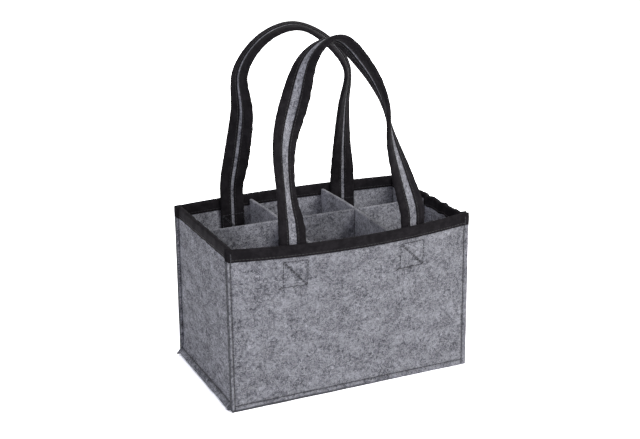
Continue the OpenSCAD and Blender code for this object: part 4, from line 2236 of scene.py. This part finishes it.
class Lamp(NamedTuple):
    """A soft square lamp that looks at the bag.

    Attributes:
        name: Its name.
        place: Where it stands.
        size: Length of its side.
        watts: Its power.
        tint: Its colour.
    """

    name: str
    place: tuple[float, float, float]
    size: float
    watts: float
    tint: tuple[float, float, float] = (1.0, 1.0, 1.0)


@dataclass(frozen=True)
class Studio:
    """A pale floor, soft light and a camera at the photograph's angle.

    Attributes:
        width_px: Width of the picture.
        focal_px: Focal length.
        sensor_mm: Width of the camera's sensor.
        azimuth_deg: How far the camera stands to the right of the front.
        elevation_deg: How far up it stands.
        roll_deg: How far it is rolled.
        distance: How far it stands from its target.
        target: The point that it looks at.
        floor_size: Half length of the floor's side.
        floor_grey: The floor's colour for the light that it gives back.
        floor_shown: Its colour for the camera, which renders white.
        world_level: Strength of the surround as a light.
        lamps: The key, the fill and the back lamp.
    """

    width_px: int = 640
    focal_px: float = 1250.0
    sensor_mm: float = 36.0
    azimuth_deg: float = -24.65
    elevation_deg: float = 18.47
    roll_deg: float = -0.41
    distance: float = 1.1894
    target: tuple[float, float, float] = (0.0010, 0.0, 0.1443)
    floor_size: float = 6.0
    floor_grey: float = 0.75
    floor_shown: float = 4.0
    world_level: float = 0.28
    lamps: tuple[Lamp, ...] = (
        Lamp("key", (0.75, -1.25, 1.35), 0.9, 20.0),
        Lamp("fill", (-1.5, -0.9, 0.9), 1.2, 7.8, (0.82, 0.84, 1.0)),
        Lamp("back", (0.7, 1.5, 0.9), 1.2, 6.0),
    )

    def build(self) -> None:
        """Makes the stage."""
        self.camera()
        self.floor()
        self.world()
        for lamp in self.lamps:
            self.light(lamp)

    def back(self) -> Vector:
        """The direction from the target to the camera."""
        a, e = math.radians(self.azimuth_deg), math.radians(self.elevation_deg)
        return Vector((math.sin(a) * math.cos(e), -math.cos(a) * math.cos(e), math.sin(e)))

    def camera(self) -> None:
        """The camera, rolled a little as the photograph is."""
        data = bpy.data.cameras.new("camera")
        data.sensor_width = self.sensor_mm
        data.lens = self.focal_px * self.sensor_mm / self.width_px
        made = linked("camera", data)
        back = self.back()
        level = (-back).to_track_quat("-Z", "Y")
        roll = Matrix.Rotation(math.radians(self.roll_deg), 3, "Z").to_quaternion()
        made.location = Vector(self.target) + back * self.distance
        made.rotation_mode = "QUATERNION"
        made.rotation_quaternion = level @ roll
        bpy.context.scene.camera = made

    def floor(self) -> None:
        """A large pale floor that shows soft shadows and renders white."""
        bm = bmesh.new()
        bmesh.ops.create_grid(bm, x_segments=1, y_segments=1, size=self.floor_size)
        made = linked("floor", taken_out(bm, "floor"))
        shade = Shade("pale_floor")
        matt = shade.node("ShaderNodeBsdfDiffuse")
        shade.feed(matt, Color=shade.ranged(shade.shown(), 0, 1, self.floor_grey, self.floor_shown))
        shade.feed(shade.tree.nodes["Material Output"], Surface=matt.outputs[0])
        made.data.materials.append(shade.material)
        made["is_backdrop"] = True

    def world(self) -> None:
        """A white surround, plain to the camera and dimmer as a light."""
        world = bpy.data.worlds.new("world")
        bpy.context.scene.world = world
        world.use_nodes = True
        nodes = Nodes(world.node_tree)
        level = nodes.ranged(nodes.shown(), 0, 1, self.world_level, 1.0)
        nodes.feed(nodes.tree.nodes["Background"], Color=(1, 1, 1, 1), Strength=level)

    def light(self, lamp: Lamp) -> None:
        """Sets up one lamp.

        Args:
            lamp: The lamp.
        """
        data = bpy.data.lights.new(lamp.name, "AREA")
        data.shape = "SQUARE"
        data.size = lamp.size
        data.energy = lamp.watts
        data.color = lamp.tint
        made = linked(lamp.name, data)
        made.location = lamp.place
        made.rotation_mode = "QUATERNION"
        made.rotation_quaternion = (Vector(self.target) - Vector(lamp.place)).to_track_quat("-Z", "Y")


def corners(box: tuple[Vector, Vector]) -> list[list[float]]:
    """A box's two corners as plain numbers."""
    return [list(p) for p in box]


def main() -> None:
    """Dresses the frame."""
    logging.basicConfig(level=logging.INFO, format="%(name)s: %(message)s")
    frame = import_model()
    cad_box = corners(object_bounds())
    bpy.context.scene.view_settings.view_transform = "Standard"
    Studio().build()
    sizes = Sizes.from_frame()
    slump = Slump(sizes)
    finishes = Finishes()
    Bag(sizes, slump, finishes).build()
    Insert(sizes, slump, finishes).build()
    hinges = {joint["name"]: Vector(joint.get("pos_m", (0, 0, 0))) for joint in frame["joints"]}
    Handle(sizes, slump, finishes, Face.FRONT, hinges["front_handle_swing"], FRONT_RUN,
           rise=169.5 * MM, lean=22 * MM).build()
    Handle(sizes, slump, finishes, Face.BACK, hinges["back_handle_swing"], BACK_RUN,
           rise=163 * MM, lean=17 * MM).build()
    {"cad": cad_box, "visual": corners(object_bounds())}


if __name__ == "__main__":
    main()
